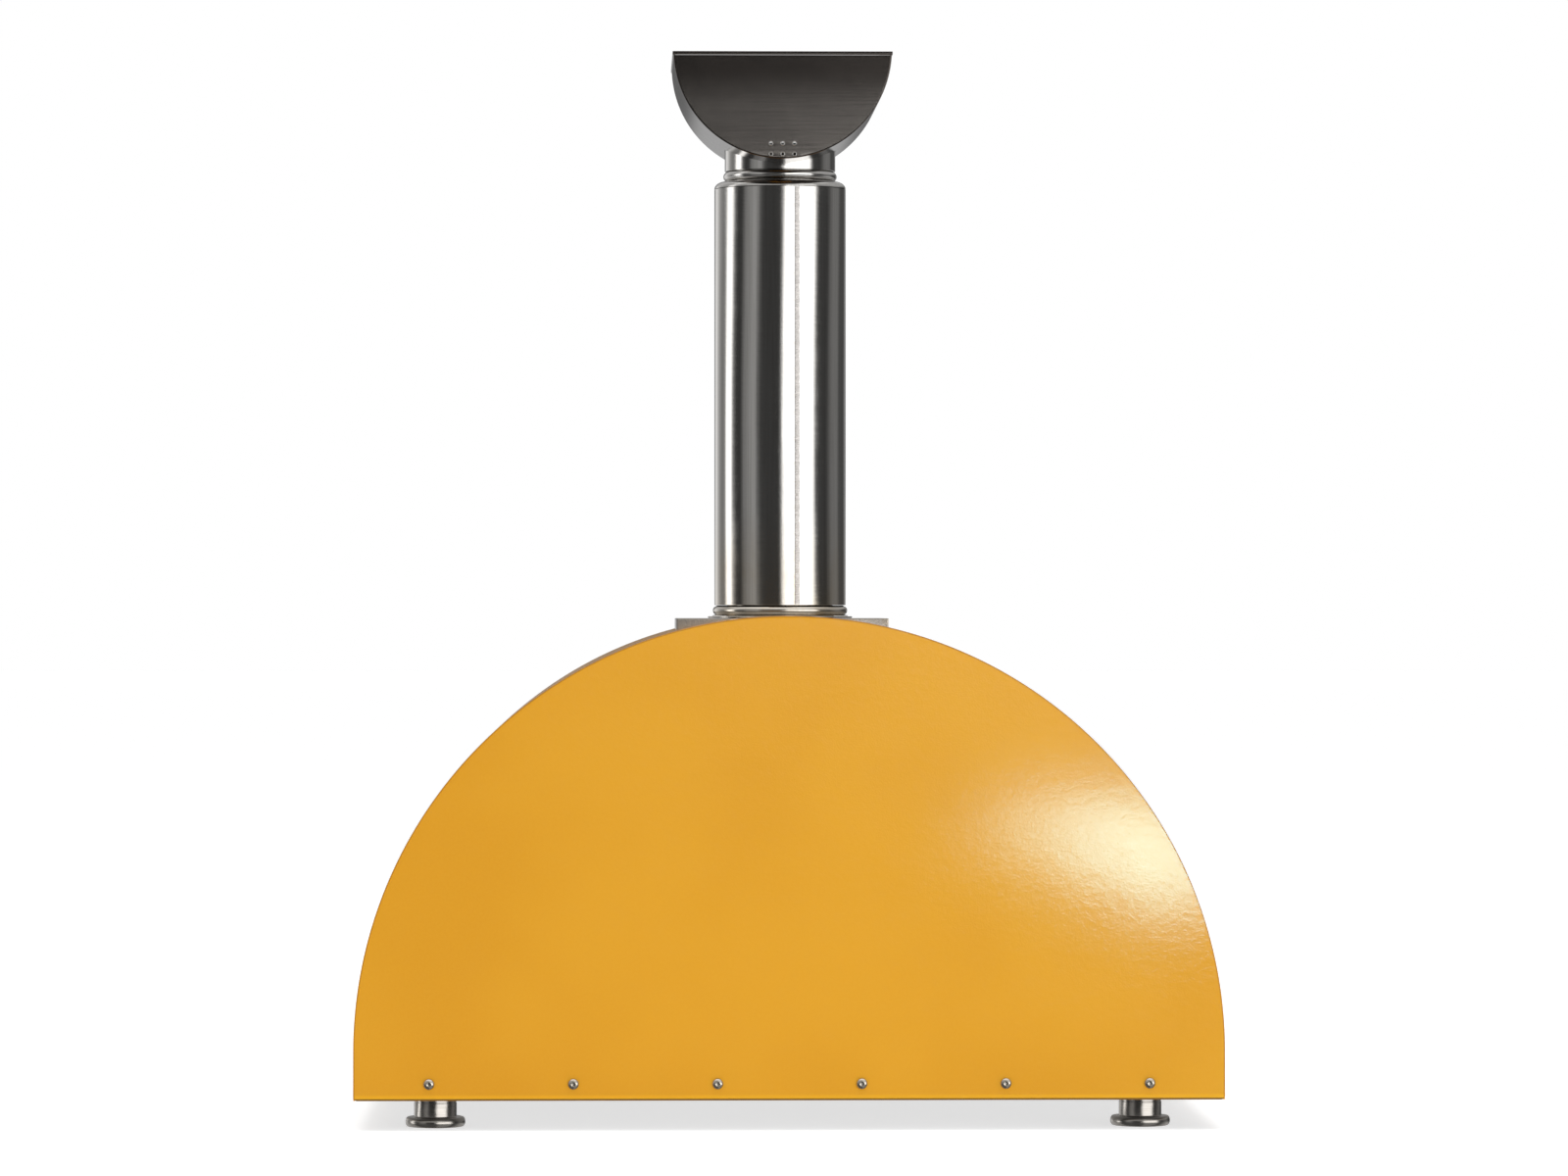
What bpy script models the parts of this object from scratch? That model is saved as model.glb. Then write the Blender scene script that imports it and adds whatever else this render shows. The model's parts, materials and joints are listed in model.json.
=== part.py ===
"""Countertop wood fired pizza oven.

A half-round coated shell on a base tray with four feet holds an insulated stainless chamber with a
refractory floor. A collector box over the chamber carries a twin-wall flue and a half-round cowl. The
mouth is in the front facade, at -Y, and an insulated door with a thermometer closes it.
"""

import math

import bmesh
import bpy
from mathutils import Matrix

# ------------------------------------------------------------------ driving dimensions, metres
BODY_RADIUS = 0.375            # outer radius of the half-round shell
BODY_DEPTH = 0.500             # from the rear panel's outer face to the facade's front face
SKIRT_HEIGHT = 0.0415          # straight side below the half circle
FOOT_HEIGHT = 0.026
SHEET = 0.0015                 # body sheet thickness
HEAVY_SHEET = 0.0020           # rear panel and landing shelf
THIN_SHEET = 0.0012            # door pan, mouth lining and cowl
GAP = 0.0003                   # clearance between pieces that touch
LOOSE_GAP = 0.0005             # clearance of pieces that are dropped in
FLANGE_HEIGHT = 0.030          # turned-up edge of the base tray
HOOD_REACH = 0.020             # how far the shell overhangs the facade

SCREW_PITCH = 0.124
REAR_SCREW_STEPS = (-2.5, -1.5, -0.5, 0.5, 1.5, 2.5)         # places along the edge, in pitches
FACADE_SCREW_STEPS = (-2.5, -0.5, 0.5, 2.5)
SCREW_RISE = 0.0143            # above the panels' lower edge
SCREW_HEAD_RADIUS = 0.00475
SCREW_HEAD_HEIGHT = 0.0027
SCREW_SOCKET = 0.0016          # radius of the blind socket in the head
BUTTON_SHAPE = ((0.62, 0.90), (0.90, 0.52), (1.00, 0.16))    # of the head's radius and height
SHANK_RADIUS = 0.0025
PANEL_SCREW_LENGTH = 0.009
SHELF_SCREW_LENGTH = 0.005
GRIP_SCREW_LENGTH = 0.0125
END_SCREW_SIZE = 0.8           # the grip's end screws against the body's
DRILL_LENGTH = 0.012           # length of the tools that drill through sheet

FEET_SPACING = 0.612
FEET_INSET = 0.055             # from the rear panel and from the facade
FOOT_RADIUS = 0.0185
FOOT_FLANGE_RADIUS = 0.026
FOOT_FLANGE_HEIGHT = 0.0085
FOOT_SOLE_RADIUS = 0.0235      # flat underside below the flange's bead
FOOT_STUD_RADIUS = 0.0040
STUD_TOP = 0.0345
NUT_RADIUS = 0.0075
NUT_HEIGHT = 0.0060
NUT_NOTCH_RADIUS = 0.011
NUT_NOTCH_LENGTH = 0.200

SHELF_REACH = 0.060            # how far the landing shelf stands out of the facade
SHELF_HALF = 0.2120
SHELF_LIP = 0.020
SHELF_SCREW_X = 0.150
SHELF_SCREW_Z = 0.0780
ANGLE_HALF = 0.200             # half the length of the angle under the shelf
ANGLE_REACH = 0.040
ANGLE_BOTTOM = 0.0650

CHAMBER_RADIUS = 0.300         # inside of the vault
CHAMBER_DEPTH = 0.4005
END_INSULATION = 0.0480        # from the rear panel's outer face to the chamber's back wall
FLOOR_TOP = 0.0953             # top of the refractory tiles
TILE_THICKNESS = 0.030
TILE_CLEARANCE = 0.0010
TILE_BEVEL = 0.0012
MOUTH_RADIUS = 0.215
FIBRE_RADIUS = 0.3700
FIBRE_Z = 0.0440               # lower edge of the fibre blanket and pads
FIBRE_CLEARANCE = 0.0010       # round the collector box
SMOKE_LEDGE = 0.0120           # how far the vault's opening lies inside the collector box

FLUE_DISTANCE = 0.345          # flue axis in front of the rear panel
BOX_WIDTH = 0.191
BOX_DEPTH = 0.190
BOX_BOTTOM = 0.340             # before the box is trimmed to the vault
BOX_TOP = 0.440
WINDOW_LOW = 0.300             # heights of the tools that open shell, fibre and vault for the box
WINDOW_HIGH = 0.500
SPIGOT_RADIUS = 0.0480
SPIGOT_BORE = 0.0470
SPIGOT_TOP = 0.500
SPIGOT_DROP = 0.010            # how far the spigot reaches down into the box
FLASHING_RADIUS = 0.066
FLUE_RADIUS = 0.060
FLUE_BOTTOM = 0.4520
FLUE_TOP = 0.8320
LINER_RADIUS = 0.050
FLUE_WALL = 0.0010
BASE_BEAD_RADIUS = 0.0615
BASE_BEAD_ROUND = 0.0042
BASE_BEAD_SWEEP = 75.0         # degrees to either side of level
BASE_RING_RIM = 0.059          # radius of the bottom ring above its bead
BASE_RING_FOOT = 0.056         # and below it
TOP_SHOULDER = 0.0064          # height of the rounded top ring
SHOULDER_RADIUS = 0.0515
RING_BORE = 0.0485

SEAT_BEAD_TOP = 0.8478
SEAT_BEAD_RADIUS = 0.0518
SEAT_STUB_TOP = 0.8620
SEAT_STUB_BOTTOM = 0.8000
COWL_RADIUS = 0.0985
COWL_DEPTH = 0.200
COWL_CENTRE_Z = 0.9520
COWL_TOP = 0.9500
COWL_LID = 0.0030
LID_OVERHANG = 0.0005
NECK_RADIUS = 0.0505
NECK_WALL = 0.0013
NECK_TOP = 0.8715
NECK_CUT_LENGTH = 0.060
COWL_HOLE_RADIUS = 0.0015
COWL_HOLE_PITCH = 0.0106
COWL_HOLE_ROWS = (0.8575, 0.8672)

DOOR_RADIUS = 0.226
PAN_RADIUS = 0.211
PAN_DEPTH = 0.030
PAN_RISE = 0.0030              # pan's lower edge above the door's
GRIP_RADIUS = 0.0105
GRIP_LENGTH = 0.180
GRIP_Z = 0.165
GRIP_ROUND = 0.0020
GRIP_SETBACK = 0.0020          # grip's surface behind the brackets' tips
GRIP_BORE_DEPTH = 0.0120
BRACKET = 0.0025
BRACKET_FOOT = 0.022
BRACKET_HALF_HEIGHT = 0.011
BRACKET_REACH = 0.054

DIAL_Z = 0.235
CASE_RADIUS = 0.032
CASE_DEPTH = 0.0140
CASE_BEVEL = 0.0010
CASE_FLOOR = 0.0012            # thickness of the case's back
CASE_POCKET = 0.0290           # radius of the room behind the dial
CASE_SEAT = 0.0027             # height of the ledge that the dial lies on
CASE_LIP = 0.0018
CASE_BORE = 0.0302
BEZEL_BORE = 0.0280
DIAL_RADIUS = 0.0298
DIAL_THICKNESS = 0.0006
DIAL_BORE = 0.0012
LENS_BACK = 0.0022             # lens's inner face below the lip
PROBE_RADIUS = 0.0030
PROBE_HOLE = 0.0034
PROBE_REACH = 0.015            # how far the probe stands out of the pan
COLLAR_RADIUS = 0.0060
COLLAR_LOW = 0.0015
COLLAR_HIGH = 0.0025
SPINDLE_RADIUS = 0.0008
SPINDLE_TOP = 0.0068
NEEDLE_RISE = 0.0050           # needle above the case's back
NEEDLE_THICKNESS = 0.0006
NEEDLE_BORE = 0.0011
NEEDLE_HUB = 0.0028
NEEDLE_LENGTH = 0.0240
NEEDLE_TAIL = 0.0080
NEEDLE_TIP_HALF = 0.0003
NEEDLE_TAIL_HALF = 0.0008
NEEDLE_START_DEG = 135.0       # anticlockwise from straight up, seen from the front

# ------------------------------------------------------------------ resolution of round shapes
ARCH_STEPS = 36
TUBE_STEPS = 32
SMALL_STEPS = 16
SCREW_STEPS = 12
FOOT_STEPS = 24
GRIP_STEPS = 20
PIN_STEPS = 8
SMOOTH_ANGLE = math.radians(35.0)
MERGE = 0.00001

# ------------------------------------------------------------------ places that follow from them
ARCH_Z = FOOT_HEIGHT + SKIRT_HEIGHT
REAR_Y = (BODY_DEPTH + SHELF_REACH - SCREW_HEAD_HEIGHT - GAP) / 2.0
FACADE_BACK = BODY_DEPTH - SHEET
SHELL_INNER = BODY_RADIUS - SHEET
TRAY_NEAR = HEAVY_SHEET + GAP
TRAY_FAR = FACADE_BACK - GAP
SCREW_Z = FOOT_HEIGHT + SCREW_RISE
SHANK_HOLE = SHANK_RADIUS + GAP
NUT_Z = FOOT_HEIGHT + SHEET + GAP
CHAMBER_BACK = END_INSULATION + SHEET + GAP
CHAMBER_FRONT = CHAMBER_BACK + CHAMBER_DEPTH
VAULT_OUTER = CHAMBER_RADIUS + SHEET
LEG_Z = FLOOR_TOP - TILE_THICKNESS
SHELF_TOP = FLOOR_TOP
SHELF_BOTTOM = SHELF_TOP - HEAVY_SHEET
SILL_Z = SHELF_BOTTOM - GAP
LINER_BORE = LINER_RADIUS - FLUE_WALL
SEAT_BEAD_BOTTOM = FLUE_TOP + 2.0 * GAP + TOP_SHOULDER
NECK_BOTTOM = SEAT_BEAD_TOP + GAP
DOOR_BACK = BODY_DEPTH + GAP
DOOR_FRONT = DOOR_BACK + SHEET
DOOR_Z = SHELF_TOP + GAP
PAN_NEAR = BODY_DEPTH - PAN_DEPTH
CASE_BACK = DOOR_FRONT + GAP
FRONT = math.radians(90.0)     # turns a piece's own +Z to the oven's front
REAR = math.radians(-90.0)

SHEET_STEEL = ((0.55, 0.54, 0.52), 0.32, 1.0)
MATERIALS = {
    "yellow_coating": ((0.73, 0.36, 0.030), 0.38, 0.0),
    "facade_steel": SHEET_STEEL,
    "flue_steel": ((0.58, 0.57, 0.55), 0.22, 1.0),
    "cowl_steel": ((0.30, 0.28, 0.26), 0.30, 1.0),
    "tray_steel": ((0.50, 0.51, 0.52), 0.45, 1.0),
    "chamber_steel": ((0.42, 0.36, 0.29), 0.42, 1.0),
    "foot_steel": ((0.60, 0.58, 0.55), 0.25, 1.0),
    "screw_steel": ((0.62, 0.61, 0.60), 0.25, 1.0),
    "refractory": ((0.72, 0.60, 0.44), 0.90, 0.0),
    "insulation_board": ((0.80, 0.78, 0.72), 0.95, 0.0),
    "ceramic_fibre": ((0.88, 0.88, 0.85), 1.00, 0.0),
    "door_steel": SHEET_STEEL,
    "grip_wood": ((0.30, 0.14, 0.06), 0.50, 0.0),
    "dial_face": ((0.90, 0.90, 0.88), 0.40, 0.0),
    "needle_paint": ((0.65, 0.04, 0.03), 0.40, 0.0),
    "lens_glass": ((0.95, 0.97, 0.97), 0.05, 0.0),
}


def clear_scene():
    """Remove whatever the file starts with."""
    for obj in list(bpy.data.objects):
        bpy.data.objects.remove(obj, do_unlink=True)
    for collection in list(bpy.data.collections):
        bpy.data.collections.remove(collection)


def new_collection(name):
    """Add a collection under the scene."""
    collection = bpy.data.collections.new(name)
    bpy.context.scene.collection.children.link(collection)
    return collection


def material(name):
    """Fetch or make one of the oven's materials."""
    found = bpy.data.materials.get(name)
    if found:
        return found
    color, roughness, metallic = MATERIALS[name]
    made = bpy.data.materials.new(name)
    made.use_nodes = True
    shader = made.node_tree.nodes["Principled BSDF"]
    shader.inputs["Base Color"].default_value = (*color, 1.0)
    shader.inputs["Roughness"].default_value = roughness
    shader.inputs["Metallic"].default_value = metallic
    return made


clear_scene()
PARTS = new_collection("wood_fired_pizza_oven")
CUTTERS = new_collection("cutters")


def at_depth(distance):
    """World Y of a place that lies this far in front of the rear panel's outer face."""
    return REAR_Y - distance


def place(obj, material_name):
    """Put a finished piece in the oven's collection with its material."""
    PARTS.objects.link(obj)
    obj.data.materials.clear()
    obj.data.materials.append(material(material_name))
    return obj


def hide_as_cutter(obj):
    """Keep a cutting tool out of the model."""
    CUTTERS.objects.link(obj)
    obj.hide_render = True
    obj.display_type = "WIRE"
    return obj


def cut(obj, *tools):
    """Subtract closed tools from a mesh piece."""
    for tool in tools:
        modifier = obj.modifiers.new("cut", "BOOLEAN")
        modifier.operation = "DIFFERENCE"
        modifier.solver = "EXACT"
        modifier.object = tool
    return obj


# ------------------------------------------------------------------ outlines in the X-Z plane
def circle(centre_x, centre_z, radius, steps=SMALL_STEPS):
    """Points round a circle."""
    turns = [2.0 * math.pi * step / steps for step in range(steps)]
    return [(centre_x + radius * math.cos(t), centre_z + radius * math.sin(t)) for t in turns]


def arch(radius, base_z, steps=ARCH_STEPS, centre_z=ARCH_Z):
    """Half round on legs, or a lower slice of it, from its right foot over the crown to its left foot."""
    rise = max(base_z - centre_z, 0.0)
    start = math.asin(rise / radius)
    sweep = math.pi - 2.0 * start
    turns = [start + sweep * step / steps for step in range(steps + 1)]
    points = [(radius * math.cos(t), centre_z + radius * math.sin(t)) for t in turns]
    if base_z < centre_z:
        points = [(radius, base_z)] + points + [(-radius, base_z)]
    return points


def arch_band(outer, inner, base_z):
    """Section of an arched sheet: the outer arch and the inner one back again."""
    return arch(outer, base_z) + list(reversed(arch(inner, base_z)))


def bowl(radius, top_z, steps=ARCH_STEPS):
    """Section of the cowl: a slice of a circle below top_z, hanging from the cowl's centre."""
    drop = COWL_CENTRE_Z - top_z
    start = math.pi + math.asin(drop / radius)
    sweep = math.pi - 2.0 * math.asin(drop / radius)
    turns = [start + sweep * step / steps for step in range(steps + 1)]
    return [(radius * math.cos(t), COWL_CENTRE_Z + radius * math.sin(t)) for t in turns]


# ------------------------------------------------------------------ shapes
def extruded(name, outlines, thickness, matrix):
    """Closed mesh of a filled outline with holes, extruded along its own Z and put in place."""
    data = bpy.data.curves.new(name, "CURVE")
    data.dimensions = "2D"
    data.fill_mode = "BOTH"
    data.extrude = thickness / 2.0
    for outline in outlines:
        spline = data.splines.new("POLY")
        spline.points.add(len(outline) - 1)
        for point, (across, up) in zip(spline.points, outline):
            point.co = (across, up, 0.0, 1.0)
        spline.use_cyclic_u = True
    curve = bpy.data.objects.new(name, data)
    CUTTERS.objects.link(curve)
    bpy.context.view_layer.update()
    graph = bpy.context.evaluated_depsgraph_get()
    mesh = bpy.data.meshes.new_from_object(curve.evaluated_get(graph))
    shape = bmesh.new()
    shape.from_mesh(mesh)
    bmesh.ops.remove_doubles(shape, verts=shape.verts, dist=MERGE)
    bmesh.ops.transform(shape, matrix=matrix, verts=shape.verts)
    bmesh.ops.recalc_face_normals(shape, faces=shape.faces)
    shape.to_mesh(mesh)
    shape.free()
    bpy.data.objects.remove(curve, do_unlink=True)
    mesh.name = name
    return bpy.data.objects.new(name, mesh)


def prism_mesh(name, outlines, near, far):
    """Closed mesh of an outline in X and Z that runs from one depth to another."""
    middle = Matrix.Translation((0.0, at_depth((near + far) / 2.0), 0.0))
    return extruded(name, outlines, far - near, middle @ Matrix.Rotation(FRONT, 4, "X"))


def side_profile(name, outline, half_width, material_name):
    """Bent sheet by its outline in depth and height, as wide as its X range."""
    upright = Matrix.Rotation(REAR, 4, "Z") @ Matrix.Rotation(FRONT, 4, "X")
    matrix = Matrix.Translation((0.0, REAR_Y, 0.0)) @ upright
    return place(extruded(name, [outline], 2.0 * half_width, matrix), material_name)


def bent_strap(name, section, material_name):
    """Strap bent in the X-Y plane, standing on edge at the grip's height."""
    outline = [(across, at_depth(distance)) for across, distance in section]
    matrix = Matrix.Translation((0.0, 0.0, GRIP_Z))
    return place(extruded(name, [outline], 2.0 * BRACKET_HALF_HEIGHT, matrix), material_name)


def plate(name, outlines, near, far, material_name):
    """Piece cut from flat stock, or an arched piece by its section, between two depths."""
    return place(prism_mesh(name, outlines, near, far), material_name)


def box_mesh(name, low, high):
    """Box between two corners, in world coordinates."""
    shape = bmesh.new()
    bmesh.ops.create_cube(shape, size=1.0)
    size = [b - a for a, b in zip(low, high)]
    middle = [(a + b) / 2.0 for a, b in zip(low, high)]
    bmesh.ops.scale(shape, vec=size, verts=shape.verts)
    bmesh.ops.translate(shape, vec=middle, verts=shape.verts)
    mesh = bpy.data.meshes.new(name)
    shape.to_mesh(mesh)
    shape.free()
    return bpy.data.objects.new(name, mesh)


def box_tool(name, low, high):
    """Box-shaped cutter."""
    return hide_as_cutter(box_mesh(name, low, high))


def round_tool(name, x, y, z, radius, length=DRILL_LENGTH, direction="Z", steps=SMALL_STEPS):
    """Cylinder-shaped cutter centred at a place."""
    shape = bmesh.new()
    bmesh.ops.create_cone(
        shape, cap_ends=True, segments=steps, radius1=radius, radius2=radius, depth=length
    )
    if direction == "Y":
        bmesh.ops.rotate(shape, matrix=Matrix.Rotation(FRONT, 3, "X"), verts=shape.verts)
    mesh = bpy.data.meshes.new(name)
    shape.to_mesh(mesh)
    shape.free()
    obj = bpy.data.objects.new(name, mesh)
    obj.location = (x, y, z)
    return hide_as_cutter(obj)


def open_box(name, low, high, open_side, material_name):
    """Sheet box with one side left out. open_side is the sign of the missing Z face."""
    obj = box_mesh(name, low, high)
    shape = bmesh.new()
    shape.from_mesh(obj.data)
    missing = [face for face in shape.faces if face.normal.z * open_side > 0.5]
    bmesh.ops.delete(shape, geom=missing, context="FACES")
    shape.to_mesh(obj.data)
    shape.free()
    solidify = obj.modifiers.new("sheet", "SOLIDIFY")
    solidify.thickness = SHEET
    solidify.offset = -1.0
    solidify.use_even_offset = True
    return place(obj, material_name)


def turned(name, profile, location, material_name, tilt=0.0, steps=TUBE_STEPS, closed=False):
    """Turned piece. The profile runs down its outer side, then back up its bore when closed."""
    mesh = bpy.data.meshes.new(name)
    vertices = [(radius, 0.0, height) for radius, height in profile]
    edges = [(index, index + 1) for index in range(len(vertices) - 1)]
    if closed:
        edges.append((len(vertices) - 1, 0))
    mesh.from_pydata(vertices, edges, [])
    obj = bpy.data.objects.new(name, mesh)
    screw = obj.modifiers.new("turn", "SCREW")
    screw.axis = "Z"
    screw.angle = math.tau
    screw.steps = steps
    screw.render_steps = steps
    screw.use_merge_vertices = True
    screw.merge_threshold = MERGE
    screw.use_smooth_shade = True
    obj.location = location
    obj.rotation_euler = (tilt, 0.0, 0.0)
    return place(obj, material_name)


def quarter_round(centre_r, centre_z, radius, start_deg, end_deg, steps):
    """Points of a profile's round corner."""
    span = end_deg - start_deg
    turns = [math.radians(start_deg + span * step / steps) for step in range(steps + 1)]
    return [(centre_r + radius * math.cos(t), centre_z + radius * math.sin(t)) for t in turns]


# ------------------------------------------------------------------ body
def collector_cutter(name, clearance):
    """Tool that opens a window for the smoke collector box."""
    half = BOX_WIDTH / 2.0 + clearance
    near = FLUE_DISTANCE - BOX_DEPTH / 2.0 - clearance
    far = FLUE_DISTANCE + BOX_DEPTH / 2.0 + clearance
    return box_tool(name, (-half, at_depth(far), WINDOW_LOW), (half, at_depth(near), WINDOW_HIGH))


def rear_screw_places():
    """X positions of the screws along the rear panel's lower edge."""
    return [SCREW_PITCH * step for step in REAR_SCREW_STEPS]


def facade_screw_places():
    """X positions of the screws along the facade's lower edge."""
    return [SCREW_PITCH * step for step in FACADE_SCREW_STEPS]


def foot_places():
    """Name, X and Y of each foot."""
    rear_y = at_depth(FEET_INSET)
    front_y = at_depth(BODY_DEPTH - FEET_INSET)
    half = FEET_SPACING / 2.0
    return [
        ("rear_left", -half, rear_y),
        ("rear_right", half, rear_y),
        ("front_left", -half, front_y),
        ("front_right", half, front_y),
    ]


def screw_hole(name, x, distance, z):
    """Drill for a screw's shank through upright sheet at this depth."""
    return round_tool(name, x, at_depth(distance), z, SHANK_HOLE, direction="Y", steps=SCREW_STEPS)


def button_screw(name, x, distance, z, length, tilt, size=1.0):
    """Button-head screw with a blind socket. Its head lies on the face at this depth."""
    head = SCREW_HEAD_RADIUS * size
    height = SCREW_HEAD_HEIGHT * size
    socket = SCREW_SOCKET * size
    shank = SHANK_RADIUS * size
    profile = [
        (0.0, height * 0.5),
        (socket, height * 0.5),
        (socket, height),
        *[(head * out, height * up) for out, up in BUTTON_SHAPE],
        (head, 0.0),
        (shank, 0.0),
        (shank, -length),
        (0.0, -length),
    ]
    side = 1.0 if tilt == FRONT else -1.0
    location = (x, at_depth(distance + side * GAP), z)
    return turned(name, profile, location, "screw_steel", tilt, SCREW_STEPS)


def make_base_tray():
    """Sheet pan with turned-up flanges, drilled for the feet and the panels' screws."""
    half = SHELL_INNER - LOOSE_GAP
    low = (-half, at_depth(TRAY_FAR), FOOT_HEIGHT)
    high = (half, at_depth(TRAY_NEAR), FOOT_HEIGHT + FLANGE_HEIGHT)
    tray = open_box("base_tray", low, high, 1.0, "tray_steel")
    stud_hole = FOOT_STUD_RADIUS + LOOSE_GAP
    for label, x, y in foot_places():
        cut(tray, round_tool("stud_hole_" + label, x, y, FOOT_HEIGHT, stud_hole))
    for index, x in enumerate(rear_screw_places()):
        cut(tray, screw_hole(f"rear_hole_{index}", x, TRAY_NEAR, SCREW_Z))
    for index, x in enumerate(facade_screw_places()):
        cut(tray, screw_hole(f"front_hole_{index}", x, TRAY_FAR, SCREW_Z))


def make_feet():
    """Turned feet with a bottom flange, each held by a stud and a nut through the tray."""
    profile = [
        (0.0, STUD_TOP),
        (FOOT_STUD_RADIUS, STUD_TOP),
        (FOOT_STUD_RADIUS, FOOT_HEIGHT - GAP),
        (FOOT_RADIUS, FOOT_HEIGHT - GAP),
        (FOOT_RADIUS, FOOT_FLANGE_HEIGHT),
    ]
    half = FOOT_FLANGE_HEIGHT / 2.0
    swell = FOOT_FLANGE_RADIUS - FOOT_SOLE_RADIUS
    bead = quarter_round(0.0, 0.0, 1.0, 90.0, -90.0, 6)
    profile += [(FOOT_SOLE_RADIUS + swell * out, half + half * up) for out, up in bead]
    profile.append((0.0, 0.0))
    bore = FOOT_STUD_RADIUS + GAP
    for label, x, y in foot_places():
        turned("foot_" + label, profile, (x, y, 0.0), "foot_steel", steps=FOOT_STEPS)
        nut = [(NUT_RADIUS, NUT_HEIGHT), (NUT_RADIUS, 0.0), (bore, 0.0), (bore, NUT_HEIGHT)]
        turned("foot_nut_" + label, nut, (x, y, NUT_Z), "screw_steel", steps=SCREW_STEPS, closed=True)


def make_shell():
    """Rear panel, half-round shell and front facade."""
    drilled = [circle(x, SCREW_Z, SHANK_HOLE, SCREW_STEPS) for x in rear_screw_places()]
    plate("rear_panel", [arch(BODY_RADIUS, FOOT_HEIGHT)] + drilled, 0.0, HEAVY_SHEET, "yellow_coating")
    for index, x in enumerate(rear_screw_places()):
        button_screw(f"rear_screw_{index + 1}", x, 0.0, SCREW_Z, PANEL_SCREW_LENGTH, REAR)

    section = arch_band(BODY_RADIUS, SHELL_INNER, FOOT_HEIGHT)
    shell = plate("dome_shell", [section], TRAY_NEAR, BODY_DEPTH + HOOD_REACH, "yellow_coating")
    cut(shell, collector_cutter("box_window", LOOSE_GAP))

    facade_radius = SHELL_INNER - GAP
    holes = [circle(x, SCREW_Z, SHANK_HOLE, SCREW_STEPS) for x in facade_screw_places()]
    holes += [circle(x, SHELF_SCREW_Z, SHANK_HOLE, SCREW_STEPS) for x in (-SHELF_SCREW_X, SHELF_SCREW_X)]
    outlines = [arch(facade_radius, FOOT_HEIGHT), arch(MOUTH_RADIUS, SILL_Z)] + holes
    plate("front_facade", outlines, FACADE_BACK, BODY_DEPTH, "facade_steel")
    for index, x in enumerate(facade_screw_places()):
        button_screw(f"facade_screw_{index + 1}", x, BODY_DEPTH, SCREW_Z, PANEL_SCREW_LENGTH, FRONT)


def make_shelf():
    """Landing shelf with a turned-down lip, on an angle screwed to the facade."""
    near = CHAMBER_FRONT + GAP
    far = BODY_DEPTH + SHELF_REACH
    lip_inner = far - HEAVY_SHEET
    shelf_outline = [
        (near, SHELF_BOTTOM),
        (lip_inner, SHELF_BOTTOM),
        (lip_inner, SHELF_TOP - SHELF_LIP),
        (far, SHELF_TOP - SHELF_LIP),
        (far, SHELF_TOP),
        (near, SHELF_TOP),
    ]
    side_profile("landing_shelf", shelf_outline, SHELF_HALF, "facade_steel")

    back = BODY_DEPTH + GAP
    front = back + SHEET
    top = SHELF_BOTTOM - GAP
    angle_outline = [
        (back, ANGLE_BOTTOM),
        (front, ANGLE_BOTTOM),
        (front, top - SHEET),
        (BODY_DEPTH + ANGLE_REACH, top - SHEET),
        (BODY_DEPTH + ANGLE_REACH, top),
        (back, top),
    ]
    bracket = side_profile("shelf_bracket", angle_outline, ANGLE_HALF, "facade_steel")
    for label, x in (("left", -SHELF_SCREW_X), ("right", SHELF_SCREW_X)):
        cut(bracket, screw_hole("shelf_hole_" + label, x, back, SHELF_SCREW_Z))
        button_screw("shelf_screw_" + label, x, front, SHELF_SCREW_Z, SHELF_SCREW_LENGTH, FRONT)


# ------------------------------------------------------------------ chamber and insulation
def make_floor():
    """Insulation board with notches for the foot nuts, and two refractory tiles."""
    half = VAULT_OUTER
    low = (-half, at_depth(CHAMBER_FRONT + SHEET + GAP), NUT_Z)
    high = (half, at_depth(END_INSULATION), LEG_Z - GAP)
    board = place(box_mesh("floor_insulation_board", low, high), "insulation_board")
    for label, x, y in foot_places():
        cut(board, round_tool("nut_notch_" + label, x, y, LEG_Z, NUT_NOTCH_RADIUS, NUT_NOTCH_LENGTH))

    rise = FLOOR_TOP - ARCH_Z
    tile_outer = math.sqrt(CHAMBER_RADIUS**2 - rise**2) - TILE_CLEARANCE
    for label, side in (("left", -1.0), ("right", 1.0)):
        ends = sorted((side * GAP, side * tile_outer))
        low = (ends[0], at_depth(CHAMBER_FRONT), LEG_Z)
        high = (ends[1], at_depth(CHAMBER_BACK), FLOOR_TOP)
        tile = place(box_mesh("floor_brick_" + label, low, high), "refractory")
        bevel = tile.modifiers.new("worn_edges", "BEVEL")
        bevel.width = TILE_BEVEL
        bevel.segments = 1


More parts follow.
